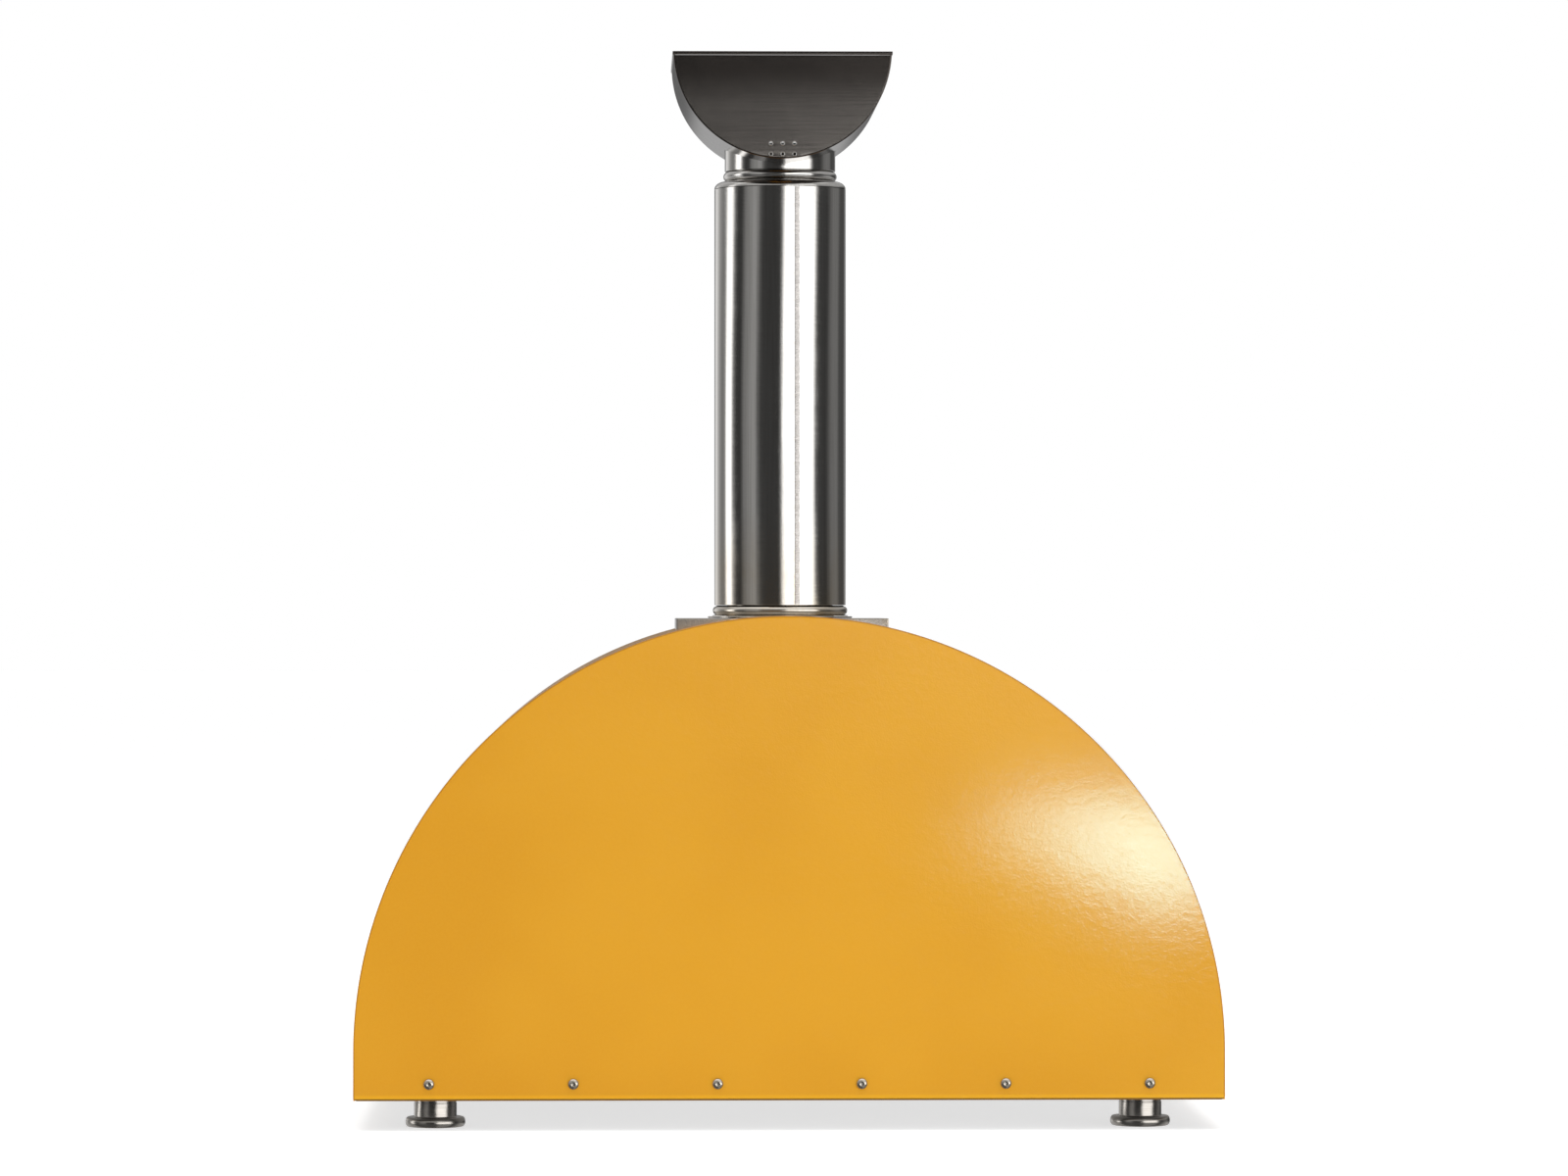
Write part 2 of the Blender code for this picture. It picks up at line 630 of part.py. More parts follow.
def make_chamber():
    """Vault, end walls, mouth lining and the fibre around them."""
    section = arch_band(VAULT_OUTER, CHAMBER_RADIUS, LEG_Z)
    vault = plate("inner_vault", [section], CHAMBER_BACK, CHAMBER_FRONT, "chamber_steel")
    cut(vault, collector_cutter("smoke_opening", -SMOKE_LEDGE))

    wall = arch(VAULT_OUTER, LEG_Z)
    plate("chamber_back_wall", [wall], END_INSULATION, END_INSULATION + SHEET, "chamber_steel")
    mouth = arch(MOUTH_RADIUS, SILL_Z)
    front = CHAMBER_FRONT + GAP
    plate("chamber_front_wall", [wall, mouth], front, front + SHEET, "chamber_steel")

    near = front + SHEET + GAP
    lining = arch_band(MOUTH_RADIUS + THIN_SHEET, MOUTH_RADIUS, SHELF_TOP + GAP)
    plate("mouth_tunnel", [lining], near, FACADE_BACK - GAP, "chamber_steel")

    blanket_section = arch_band(FIBRE_RADIUS, VAULT_OUTER + LOOSE_GAP, FIBRE_Z)
    blanket = plate("insulation_blanket", [blanket_section], END_INSULATION, near - GAP, "ceramic_fibre")
    cut(blanket, collector_cutter("blanket_window", FIBRE_CLEARANCE))

    slab = arch(FIBRE_RADIUS, FIBRE_Z)
    pad_near = TRAY_NEAR + SHEET + GAP
    plate("insulation_back_pad", [slab], pad_near, END_INSULATION - GAP, "ceramic_fibre")
    around_mouth = arch(MOUTH_RADIUS + THIN_SHEET + GAP, SILL_Z)
    pad_far = TRAY_FAR - SHEET - GAP
    plate("insulation_front_pad", [slab, around_mouth], near, pad_far, "ceramic_fibre")


# ------------------------------------------------------------------ smoke path
def flue_point(z):
    """Place on the flue's axis."""
    return (0.0, at_depth(FLUE_DISTANCE), z)


def make_collector():
    """Box over the chamber's smoke opening, and the spigot that the flue stands on."""
    half = BOX_WIDTH / 2.0
    near = FLUE_DISTANCE - BOX_DEPTH / 2.0
    far = FLUE_DISTANCE + BOX_DEPTH / 2.0
    low = (-half, at_depth(far), BOX_BOTTOM)
    high = (half, at_depth(near), BOX_TOP)
    box = open_box("flue_box", low, high, -1.0, "facade_steel")
    _, y, _ = flue_point(0.0)
    form_radius = VAULT_OUTER + GAP
    cut(box, round_tool("vault_form", 0.0, y, ARCH_Z, form_radius, 2.0 * BOX_DEPTH, "Y", 2 * ARCH_STEPS))
    cut(box, round_tool("spigot_hole", 0.0, y, BOX_TOP, SPIGOT_RADIUS + GAP, steps=TUBE_STEPS))

    plate_bottom = BOX_TOP + GAP
    plate_top = plate_bottom + SHEET
    profile = [
        (SPIGOT_RADIUS, SPIGOT_TOP),
        (SPIGOT_RADIUS, plate_top),
        (FLASHING_RADIUS, plate_top),
        (FLASHING_RADIUS, plate_bottom),
        (SPIGOT_RADIUS, plate_bottom),
        (SPIGOT_RADIUS, BOX_TOP - SPIGOT_DROP),
        (SPIGOT_BORE, BOX_TOP - SPIGOT_DROP),
        (SPIGOT_BORE, SPIGOT_TOP),
    ]
    turned("flue_spigot", profile, flue_point(0.0), "facade_steel", closed=True)


def make_flue():
    """Twin-wall flue: sleeve and liner between a beaded bottom ring and a rounded top ring."""
    ring_top = FLUE_BOTTOM - GAP
    ring_bottom = BOX_TOP + GAP + SHEET + GAP
    middle = (ring_top + ring_bottom) / 2.0
    centre = BASE_BEAD_RADIUS - BASE_BEAD_ROUND
    profile = [(BASE_RING_RIM, ring_top)]
    profile += quarter_round(centre, middle, BASE_BEAD_ROUND, BASE_BEAD_SWEEP, -BASE_BEAD_SWEEP, 6)
    profile += [(BASE_RING_FOOT, ring_bottom), (LINER_BORE, ring_bottom), (LINER_BORE, ring_top)]
    turned("flue_base_ring", profile, flue_point(0.0), "flue_steel", closed=True)

    for name, outer in (("flue_sleeve", FLUE_RADIUS), ("flue_liner", LINER_RADIUS)):
        bore = outer - FLUE_WALL
        wall = [(outer, FLUE_TOP), (outer, FLUE_BOTTOM), (bore, FLUE_BOTTOM), (bore, FLUE_TOP)]
        turned(name, wall, flue_point(0.0), "flue_steel", closed=True)

    seat = FLUE_TOP + GAP
    round_off = FLUE_RADIUS - SHOULDER_RADIUS
    profile = quarter_round(SHOULDER_RADIUS, seat, round_off, 90.0, 0.0, 5)
    profile = [(r, seat + (z - seat) * TOP_SHOULDER / round_off) for r, z in profile]
    profile += [(RING_BORE, seat), (RING_BORE, seat + TOP_SHOULDER)]
    turned("flue_top_ring", profile, flue_point(0.0), "flue_steel", closed=True)


def make_cowl():
    """Cap: a seat ring in the liner, and the cowl with its neck that turns on the ring."""
    reach = SEAT_BEAD_RADIUS - SPIGOT_RADIUS
    stretch = (SEAT_BEAD_TOP - SEAT_BEAD_BOTTOM) / (2.0 * reach)
    middle = (SEAT_BEAD_TOP + SEAT_BEAD_BOTTOM) / 2.0
    bead = quarter_round(SPIGOT_RADIUS, middle, reach, 90.0, -90.0, 6)
    profile = [(SPIGOT_RADIUS, SEAT_STUB_TOP)]
    profile += [(radius, middle + (z - middle) * stretch) for radius, z in bead]
    profile += [
        (SPIGOT_RADIUS, SEAT_STUB_BOTTOM),
        (SPIGOT_BORE, SEAT_STUB_BOTTOM),
        (SPIGOT_BORE, SEAT_STUB_TOP),
    ]
    turned("cap_seat_ring", profile, flue_point(0.0), "flue_steel", closed=True)

    bore = NECK_RADIUS - NECK_WALL
    wall = [(NECK_RADIUS, NECK_TOP), (NECK_RADIUS, NECK_BOTTOM), (bore, NECK_BOTTOM), (bore, NECK_TOP)]
    turned("cap_neck", wall, flue_point(0.0), "flue_steel", closed=True)

    near = FLUE_DISTANCE - COWL_DEPTH / 2.0
    far = FLUE_DISTANCE + COWL_DEPTH / 2.0
    trough_top = COWL_TOP - COWL_LID - GAP
    inner = COWL_RADIUS - THIN_SHEET
    section = bowl(COWL_RADIUS, trough_top) + list(reversed(bowl(inner, trough_top)))
    trough = plate("cap_trough", [section], near, far, "cowl_steel")
    middle = flue_point((NECK_BOTTOM + NECK_TOP) / 2.0)
    cut(trough, round_tool("neck_hole", *middle, NECK_RADIUS + GAP, NECK_CUT_LENGTH, steps=TUBE_STEPS))

    lid_half = COWL_RADIUS + LID_OVERHANG
    low = (-lid_half, at_depth(far), COWL_TOP - COWL_LID)
    high = (lid_half, at_depth(near), COWL_TOP)
    place(box_mesh("cap_lid", low, high), "cowl_steel")

    holes = []
    for z in COWL_HOLE_ROWS:
        for step in (-1.0, 0.0, 1.0):
            holes.append(circle(step * COWL_HOLE_PITCH, z, COWL_HOLE_RADIUS, PIN_STEPS))
    face = bowl(inner - GAP, trough_top - GAP)
    plate("cap_back_plate", [face] + holes, near, near + THIN_SHEET, "cowl_steel")


# ------------------------------------------------------------------ door
def make_door():
    """Flat outer panel with an insulated pan behind it that fills the mouth."""
    probe = circle(0.0, DIAL_Z, PROBE_HOLE, SCREW_STEPS)
    panel = [arch(DOOR_RADIUS, DOOR_Z), probe]
    plate("door_outer_panel", panel, DOOR_BACK, DOOR_FRONT, "door_steel")

    pan_z = DOOR_Z + PAN_RISE
    inner = PAN_RADIUS - THIN_SHEET
    pan = plate("door_inner_pan", [arch(PAN_RADIUS, pan_z)], PAN_NEAR, BODY_DEPTH, "door_steel")
    hollow = arch(inner, pan_z + THIN_SHEET)
    room = prism_mesh("pan_room", [hollow], PAN_NEAR + THIN_SHEET, BODY_DEPTH + THIN_SHEET)
    y = at_depth(PAN_NEAR)
    cut(pan, hide_as_cutter(room))
    cut(pan, round_tool("probe_hole", 0.0, y, DIAL_Z, PROBE_HOLE, direction="Y", steps=SCREW_STEPS))

    filling_outline = arch(inner - GAP, pan_z + THIN_SHEET + GAP)
    filling = [filling_outline, circle(0.0, DIAL_Z, PROBE_HOLE, SCREW_STEPS)]
    near = PAN_NEAR + THIN_SHEET + GAP
    plate("door_insulation", filling, near, BODY_DEPTH - GAP, "ceramic_fibre")


def make_handle():
    """Wooden grip between two bent brackets on the door."""
    foot_near = DOOR_FRONT + GAP
    foot_far = foot_near + BRACKET
    tip = foot_near + BRACKET_REACH
    grip_depth = tip - GRIP_RADIUS - GRIP_SETBACK
    half_grip = GRIP_LENGTH / 2.0
    bore = SHANK_RADIUS * END_SCREW_SIZE + GAP
    for label, side in (("left", -1.0), ("right", 1.0)):
        web = half_grip + GAP
        outline_x = (web, web + BRACKET, web + BRACKET_FOOT)
        low_x, mid_x, high_x = [side * value for value in outline_x]
        section = [
            (low_x, foot_near),
            (high_x, foot_near),
            (high_x, foot_far),
            (mid_x, foot_far),
            (mid_x, tip),
            (low_x, tip),
        ]
        bracket = bent_strap("door_handle_bracket_" + label, section, "door_steel")
        screw_x = side * (web + BRACKET + GAP)
        hole_x = side * (web + BRACKET / 2.0)
        hole = round_tool("grip_hole_" + label, hole_x, at_depth(grip_depth), GRIP_Z, bore, steps=SCREW_STEPS)
        hole.rotation_euler = (0.0, FRONT, 0.0)
        cut(bracket, hole)
        end_screw("handle_end_screw_" + label, (screw_x, at_depth(grip_depth), GRIP_Z), side * FRONT)

    shape = quarter_round(GRIP_RADIUS - GRIP_ROUND, half_grip - GRIP_ROUND, GRIP_ROUND, 90.0, 0.0, 2)
    lower = [(radius, -height) for radius, height in reversed(shape)]
    blind = half_grip - GRIP_BORE_DEPTH
    profile = [(0.0, blind), (bore, blind), (bore, half_grip)] + shape + lower
    profile += [(bore, -half_grip), (bore, -blind), (0.0, -blind)]
    centre = (0.0, at_depth(grip_depth), GRIP_Z)
    grip = turned("door_handle_grip", profile, centre, "grip_wood", steps=GRIP_STEPS)
    grip.rotation_euler = (0.0, FRONT, 0.0)


def end_screw(name, location, turn):
    """Button-head screw along X, into the end of the grip."""
    screw = button_screw(name, 0.0, 0.0, 0.0, GRIP_SCREW_LENGTH, FRONT, END_SCREW_SIZE)
    screw.location = location
    screw.rotation_euler = (0.0, turn, 0.0)


# ------------------------------------------------------------------ thermometer
def make_thermometer():
    """Dial thermometer: case on the door, probe through it, dial, needle and lens."""
    place_x_z = (0.0, at_depth(CASE_BACK), DIAL_Z)
    lip = CASE_DEPTH - CASE_LIP
    profile = [
        (BEZEL_BORE, CASE_DEPTH),
        (CASE_RADIUS - CASE_BEVEL, CASE_DEPTH),
        (CASE_RADIUS, CASE_DEPTH - CASE_BEVEL),
        (CASE_RADIUS, 0.0),
        (PROBE_HOLE, 0.0),
        (PROBE_HOLE, CASE_FLOOR),
        (CASE_POCKET, CASE_FLOOR),
        (CASE_POCKET, CASE_SEAT),
        (CASE_BORE, CASE_SEAT),
        (CASE_BORE, lip),
        (BEZEL_BORE, lip),
    ]
    turned("thermometer_case", profile, place_x_z, "door_steel", FRONT, closed=True)

    back = CASE_SEAT + GAP
    front = back + DIAL_THICKNESS
    dial = [(DIAL_RADIUS, front), (DIAL_RADIUS, back), (DIAL_BORE, back), (DIAL_BORE, front)]
    turned("thermometer_dial", dial, place_x_z, "dial_face", FRONT, closed=True)

    lens_front = lip - GAP
    lens_back = lip - LENS_BACK
    lens = [(0.0, lens_front), (DIAL_RADIUS, lens_front), (DIAL_RADIUS, lens_back), (0.0, lens_back)]
    turned("thermometer_lens", lens, place_x_z, "lens_glass", FRONT)

    stem_end = PAN_NEAR - CASE_BACK - PROBE_REACH
    probe = [
        (0.0, SPINDLE_TOP),
        (SPINDLE_RADIUS, SPINDLE_TOP),
        (SPINDLE_RADIUS, COLLAR_HIGH),
        (COLLAR_RADIUS, COLLAR_HIGH),
        (COLLAR_RADIUS, COLLAR_LOW),
        (PROBE_RADIUS, COLLAR_LOW),
        (PROBE_RADIUS, stem_end),
        (0.0, stem_end),
    ]
    turned("thermometer_probe", probe, place_x_z, "screw_steel", FRONT, steps=SCREW_STEPS)

    back = CASE_BACK + NEEDLE_RISE
    outlines = [needle_outline(), circle(0.0, 0.0, NEEDLE_BORE, PIN_STEPS)]
    needle = prism_mesh("thermometer_needle", outlines, back, back + NEEDLE_THICKNESS)
    shift = Matrix.Translation((0.0, -at_depth(back), 0.0))
    lean = Matrix.Rotation(-math.radians(NEEDLE_START_DEG), 4, "Y")
    needle.data.transform(lean @ shift)
    needle.location = (0.0, at_depth(back), DIAL_Z)
    place(needle, "needle_paint")


def needle_outline():
    """Pointer straight up from its hub, with a short tail."""
    turns = [math.radians(angle) for angle in (-60, -30, 0, 30, 60)]
    right = [(NEEDLE_HUB * math.cos(t), NEEDLE_HUB * math.sin(t)) for t in turns]
    left = [(-across, up) for across, up in reversed(right)]
    tip = [(NEEDLE_TIP_HALF, NEEDLE_LENGTH), (-NEEDLE_TIP_HALF, NEEDLE_LENGTH)]
    tail = [(-NEEDLE_TAIL_HALF, -NEEDLE_TAIL), (NEEDLE_TAIL_HALF, -NEEDLE_TAIL)]
    return right + tip + left + tail


# ------------------------------------------------------------------ joints
DOOR_PIECES = (
    "door_outer_panel",
    "door_inner_pan",
    "door_insulation",
    "door_handle_bracket_left",
    "door_handle_bracket_right",
    "door_handle_grip",
    "handle_end_screw_left",
    "handle_end_screw_right",
    "thermometer_case",
    "thermometer_dial",
    "thermometer_lens",
    "thermometer_probe",
)
FLUE_PIECES = ("flue_sleeve", "flue_liner", "flue_base_ring", "flue_top_ring")
COWL_PIECES = ("cap_neck", "cap_trough", "cap_lid", "cap_back_plate")


def guide(name, location, parent=None):
    """Empty that stands for a joint."""
    empty = bpy.data.objects.new(name, None)
    PARTS.objects.link(empty)
    empty.location = location
    if parent:
        attach(parent, (name,))
    bpy.context.view_layer.update()
    return empty


def attach(parent, names):
    """Parent pieces without moving them."""
    bpy.context.view_layer.update()
    for name in names:
        child = bpy.data.objects[name]
        child.parent = parent
        child.matrix_parent_inverse = parent.matrix_world.inverted()


def make_joints():
    """Door, needle, flue and cap on the guides that they move with."""
    door = guide("door_slide_guide", (0.0, at_depth(DOOR_BACK), DOOR_Z))
    attach(door, DOOR_PIECES)
    attach(door, ("thermometer_needle",))
    flue = guide("flue_lift_guide", flue_point(BOX_TOP))
    attach(flue, FLUE_PIECES)
    seat = guide("cap_lift_guide", flue_point(SEAT_BEAD_BOTTOM), flue)
    attach(seat, ("cap_seat_ring",))
    cowl = guide("cap_turn_guide", flue_point(SEAT_BEAD_TOP), seat)
    attach(cowl, COWL_PIECES)


def shade():
    """Smooth the round faces and keep the edges crisp."""
    for obj in PARTS.objects:
        if obj.type == "MESH" and not obj.modifiers:
            obj.data.shade_smooth()
            obj.data.set_sharp_from_angle(angle=SMOOTH_ANGLE)


make_base_tray()
make_feet()
make_shell()
make_shelf()
make_floor()
make_chamber()
make_collector()
make_flue()
make_cowl()
make_door()
make_handle()
make_thermometer()
make_joints()
shade()
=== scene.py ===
import json
import math

import bmesh
import bpy
from mathutils import Matrix, Vector


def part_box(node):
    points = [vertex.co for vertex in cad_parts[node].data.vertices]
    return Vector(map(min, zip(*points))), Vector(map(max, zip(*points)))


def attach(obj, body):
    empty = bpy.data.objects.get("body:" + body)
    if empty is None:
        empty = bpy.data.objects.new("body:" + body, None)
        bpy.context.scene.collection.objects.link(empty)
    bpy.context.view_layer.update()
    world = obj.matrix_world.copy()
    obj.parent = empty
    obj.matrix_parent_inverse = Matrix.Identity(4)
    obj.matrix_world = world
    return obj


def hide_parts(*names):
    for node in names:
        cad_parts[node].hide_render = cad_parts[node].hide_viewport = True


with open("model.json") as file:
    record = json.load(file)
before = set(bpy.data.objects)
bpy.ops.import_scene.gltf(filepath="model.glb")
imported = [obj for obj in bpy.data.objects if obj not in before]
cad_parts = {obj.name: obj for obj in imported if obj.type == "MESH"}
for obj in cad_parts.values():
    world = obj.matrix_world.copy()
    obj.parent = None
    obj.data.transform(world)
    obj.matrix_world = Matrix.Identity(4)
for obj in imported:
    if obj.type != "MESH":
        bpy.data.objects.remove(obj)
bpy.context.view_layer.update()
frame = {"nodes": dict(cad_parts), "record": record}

# ---------- driving values (metres, degrees)
ARCH_STEPS = 192               # steps round a half circle
TURN_STEPS = 144               # points round a turned piece
FLUE_STEPS = 240               # points round the flue's tubes and rings
CAP_STEPS = 200                # points round the cap's ring and neck
SMOOTH_ANGLE = math.radians(35.0)
MERGE = 1e-6

SHEET = 0.0015                 # thickness of the outer shell
HEAVY_SHEET = 0.0020           # of the landing shelf
THIN_SHEET = 0.0012            # of the mouth's lining and the cowl
SHEET_EDGE = 0.0004            # rounding on the edges of sheet steel
SCREW_HOLE = 0.0030            # radius
FIT = 0.0003                   # gap between pieces that fit together
WINDOW_GAP = 0.0006            # between the shell's window and the collector box
COAT_RIM = 0.0018              # width of the painted shade along the panel's edge
HEAD_SHARE = 0.57              # height of a button head against its radius
SOCKET_SHARE = 0.40            # half the key width of its socket against its radius
COWL_EDGE = 0.0008             # rounding between the cowl's trough and its rear plate
HOLE_ROWS = (0.0040, 0.0137)   # the cowl's small holes, above the trough's lowest line
HOLE_PITCH = 0.0106
STEM_HOLE = 0.0034             # radius of the thermometer's hole in the door and the case
SEAM_TURN = 13.5               # the flue's weld seam, from straight back towards -X
NEEDLE_REST = 135.0            # anticlockwise from straight up, seen from the front
DIAL_SWEEP = 270.0
DIAL_FULL_SCALE = 500

CAMERA_DISTANCE = 5.4          # from the rear panel
CAMERA_HEIGHT = 0.448
CAMERA_TURN = 1.5              # round the oven towards +X
CAMERA_LENS = 144.2
CAMERA_AIM = (0.00506, 0.0185)  # from the panel's middle, and above the camera's own height


# ---------- mesh tools
def span(node):
    """Lowest corner, highest corner and middle of a CAD node."""
    low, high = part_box(node)
    return low, high, (low + high) / 2.0


def smooth(mesh):
    """Smooth shading up to the sharp-edge angle."""
    mesh.polygons.foreach_set("use_smooth", [True] * len(mesh.polygons))
    mesh.set_sharp_from_angle(angle=SMOOTH_ANGLE)
    mesh.update()


def as_object(name, shape):
    """Turns a bmesh into an object whose place is in its vertices."""
    bmesh.ops.remove_doubles(shape, verts=shape.verts, dist=MERGE)
    bmesh.ops.recalc_face_normals(shape, faces=shape.faces)
    mesh = bpy.data.meshes.new(name)
    shape.to_mesh(mesh)
    shape.free()
    smooth(mesh)
    obj = bpy.data.objects.new(name, mesh)
    bpy.context.scene.collection.objects.link(obj)
    return obj


def evaluated_mesh(obj):
    """A new mesh from an object as it stands, modifiers included."""
    bpy.context.view_layer.update()
    graph = bpy.context.evaluated_depsgraph_get()
    return bpy.data.meshes.new_from_object(obj.evaluated_get(graph))


def even_normals(obj):
    """Keeps flat faces flat beside small rounded edges."""
    obj.modifiers.new("even_normals", "WEIGHTED_NORMAL").keep_sharp = True
    return obj


def soften(obj, width, angle=30.0):
    """Rounds an object's edges that are sharper than an angle."""
    bevel = obj.modifiers.new("soft_edges", "BEVEL")
    bevel.width = width
    bevel.segments = 2
    bevel.limit_method = "ANGLE"
    bevel.angle_limit = math.radians(angle)
    return even_normals(obj)


def thicken(obj, thickness, even=True):
    """Gives a surface its sheet's thickness, half to each side."""
    solid = obj.modifiers.new("sheet", "SOLIDIFY")
    solid.thickness = thickness
    solid.offset = 0.0
    solid.use_even_offset = even
    return obj


def carve(obj, cutter):
    """Cuts one object out of another, with its modifiers applied, and removes the cutter."""
    boolean = obj.modifiers.new("carve", "BOOLEAN")
    boolean.operation = "DIFFERENCE"
    boolean.solver = "EXACT"
    boolean.object = cutter
    mesh = evaluated_mesh(obj)
    obj.modifiers.clear()
    obj.data = mesh
    smooth(mesh)
    bpy.data.objects.remove(cutter, do_unlink=True)


def oval(centre_a, centre_b, reach, rise, start, end, steps):
    """Points on part of an ellipse, both ends included; angles in degrees."""
    points = []
    for index in range(steps + 1):
        turn = math.radians(start + (end - start) * index / steps)
        points.append((centre_a + reach * math.cos(turn), centre_b + rise * math.sin(turn)))
    return points


def arc(centre_a, centre_b, radius, start, end, steps):
    """Points on a circle's arc, both ends included; angles in degrees."""
    return oval(centre_a, centre_b, radius, radius, start, end, steps)


def grid(shape, rows, wrap_rows=False, wrap_columns=False, skip=None):
    """Quads between rows of points."""
    made = [[shape.verts.new(point) for point in row] for row in rows]
    row_count = len(made) if wrap_rows else len(made) - 1
    column_count = len(made[0]) if wrap_columns else len(made[0]) - 1
    for r in range(row_count):
        for c in range(column_count):
            if skip and skip(r, c):
                continue
            below, above = made[r], made[(r + 1) % len(made)]
            following = (c + 1) % len(below)
            shape.faces.new((below[c], below[following], above[following], above[c]))
    return made


def capped(shape, rows):
    """Closed bar through rows of points, a face on each end."""
    made = grid(shape, rows, wrap_columns=True)
    shape.faces.new(made[0])
    shape.faces.new(list(reversed(made[-1])))


def spun_rows(profile, centre, axis, steps):
    """A ring of points round an axis for each (radius, place along the axis)."""
    rows = []
    for radius, place in profile:
        row = []
        for step in range(steps):
            turn = math.tau * step / steps
            point = [centre[0] + radius * math.cos(turn), centre[1] + radius * math.sin(turn)]
            point.insert("XYZ".index(axis), place)
            row.append(point)
        rows.append(row)
    return rows


def turned(name, profile, centre, axis="Z", steps=TURN_STEPS, ring=False):
    """Solid of revolution; the profile of a ring closes on itself."""
    shape = bmesh.new()
    grid(shape, spun_rows(profile, centre, axis, steps), wrap_rows=ring, wrap_columns=True)
    bmesh.ops.dissolve_degenerate(shape, edges=shape.edges, dist=MERGE)
    return as_object(name, shape)


def stand_up(name, curve, x, z, front, back):
    """Mesh of a curve that is drawn flat, turned to stand across Y between two places."""
    source = bpy.data.objects.new(name + "_outline", curve)
    bpy.context.scene.collection.objects.link(source)
    mesh = evaluated_mesh(source)
    bpy.data.objects.remove(source, do_unlink=True)
    shape = bmesh.new()
    shape.from_mesh(mesh)
    bpy.data.meshes.remove(mesh)
    stand = Matrix.Translation((x, (front + back) / 2.0, z)) @ Matrix.Rotation(math.radians(90.0), 4, "X")
    bmesh.ops.transform(shape, matrix=stand, verts=shape.verts)
    return as_object(name, shape)


def flat_plate(name, outlines, front, back, edge=SHEET_EDGE):
    """Sheet standing across Y between two places, cut to closed (x, z) outlines, with rounded edges."""
    curve = bpy.data.curves.new(name, "CURVE")
    curve.dimensions = "2D"
    curve.fill_mode = "BOTH"
    curve.extrude = (back - front) / 2.0 - edge
    curve.bevel_depth = edge
    curve.bevel_resolution = 2
    curve.offset = -edge
    for outline in outlines:
        spline = curve.splines.new("POLY")
        spline.points.add(len(outline) - 1)
        for point, (x, z) in zip(spline.points, outline):
            point.co = (x, z, 0.0, 1.0)
        spline.use_cyclic_u = True
    return even_normals(stand_up(name, curve, 0.0, 0.0, front, back))


def half_round(radius, bottom_z, corner):
    """Closed outline of a half circle on straight sides, its two lower corners rounded."""
    outline = arc(0.0, arch_centre(), radius, 0.0, 180.0, ARCH_STEPS)
    outline += arc(-radius + corner, bottom_z + corner, corner, 180.0, 270.0, 6)
    return outline + arc(radius - corner, bottom_z + corner, corner, 270.0, 360.0, 6)


def half_moon(radius, bottom_z):
    """Outline of a half circle cut off flat at its foot, from right to left."""
    lean = math.degrees(math.asin((bottom_z - arch_centre()) / radius))
    return arc(0.0, arch_centre(), radius, lean, 180.0 - lean, ARCH_STEPS)


def circle(x, z, radius, steps=24):
    """Closed round outline."""
    return arc(x, z, radius, 0.0, 360.0 - 360.0 / steps, steps - 1)


def arch_centre():
    """Height of the centre that the oven's arches share."""
    low, high, _ = span("dome_shell")
    return high.z - (high.x - low.x) / 2.0


def arch_shell(name, node, thickness, window=None):
    """Half-round sheet in a CAD node's box, on legs if that reaches below the arch, perhaps with a window."""
    low, high, _ = span(node)
    centre_z = arch_centre()
    outer = high.z - centre_z
    middle = outer - thickness / 2.0
    start = math.degrees(math.asin(max(0.0, low.z - centre_z) / middle))
    angles = [start + (180.0 - 2.0 * start) * step / ARCH_STEPS for step in range(ARCH_STEPS + 1)]
    stations = [low.y, high.y]
    if window:
        window_low, window_high, _ = span(window)
        lean = math.degrees(math.acos((window_high.x + WINDOW_GAP) / outer))
        for edge in (lean, 180.0 - lean):
            gaps = [abs(angle - edge) for angle in angles]
            angles[gaps.index(min(gaps))] = edge
        stations = [low.y, window_low.y - WINDOW_GAP, window_high.y + WINDOW_GAP, high.y]
    turns = map(math.radians, angles)
    section = [(middle * math.cos(turn), centre_z + middle * math.sin(turn)) for turn in turns]
    if low.z < centre_z:
        section = [(middle, low.z)] + section + [(-middle, low.z)]

    def inside_window(row, column):
        between = (section[column][0] + section[column + 1][0]) / 2.0
        return row == 1 and abs(between) < window_high.x and section[column][1] > window_low.z

    shape = bmesh.new()
    grid(shape, [[(x, y, z) for x, z in section] for y in stations], skip=inside_window if window else None)
    return soften(thicken(as_object(name, shape), thickness), SHEET_EDGE)


def block(name, low, high, edge):
    """Solid with rounded edges between two corners."""
    shape = bmesh.new()
    bmesh.ops.create_cube(shape, size=1.0)
    place = Matrix.Translation((low + high) / 2.0) @ Matrix.Diagonal((*(high - low), 1.0))
    bmesh.ops.transform(shape, matrix=place, verts=shape.verts)
    bmesh.ops.bevel(shape, geom=shape.edges[:], offset=edge, segments=3, profile=0.5, affect="EDGES")
    return even_normals(as_object(name, shape))


def settle(obj, body, slot, finish, *nodes):
    """Gives a piece its finish and its body, and hides the CAD nodes that it stands for; the slot argument is
    not used.
    """
    obj.data.materials.clear()
    obj.data.materials.append(FINISHES[finish])
    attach(obj, body)
    if nodes:
        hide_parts(*nodes)


def dress(node, finish, edge=0.0):
    """Gives a CAD node that stays in view its finish, and softer edges."""
    obj = frame["nodes"][node]
    for slot in obj.material_slots:
        slot.material = FINISHES[finish]
    if edge:
        obj.modifiers.new("weld", "WELD").merge_threshold = MERGE
        soften(obj, edge)


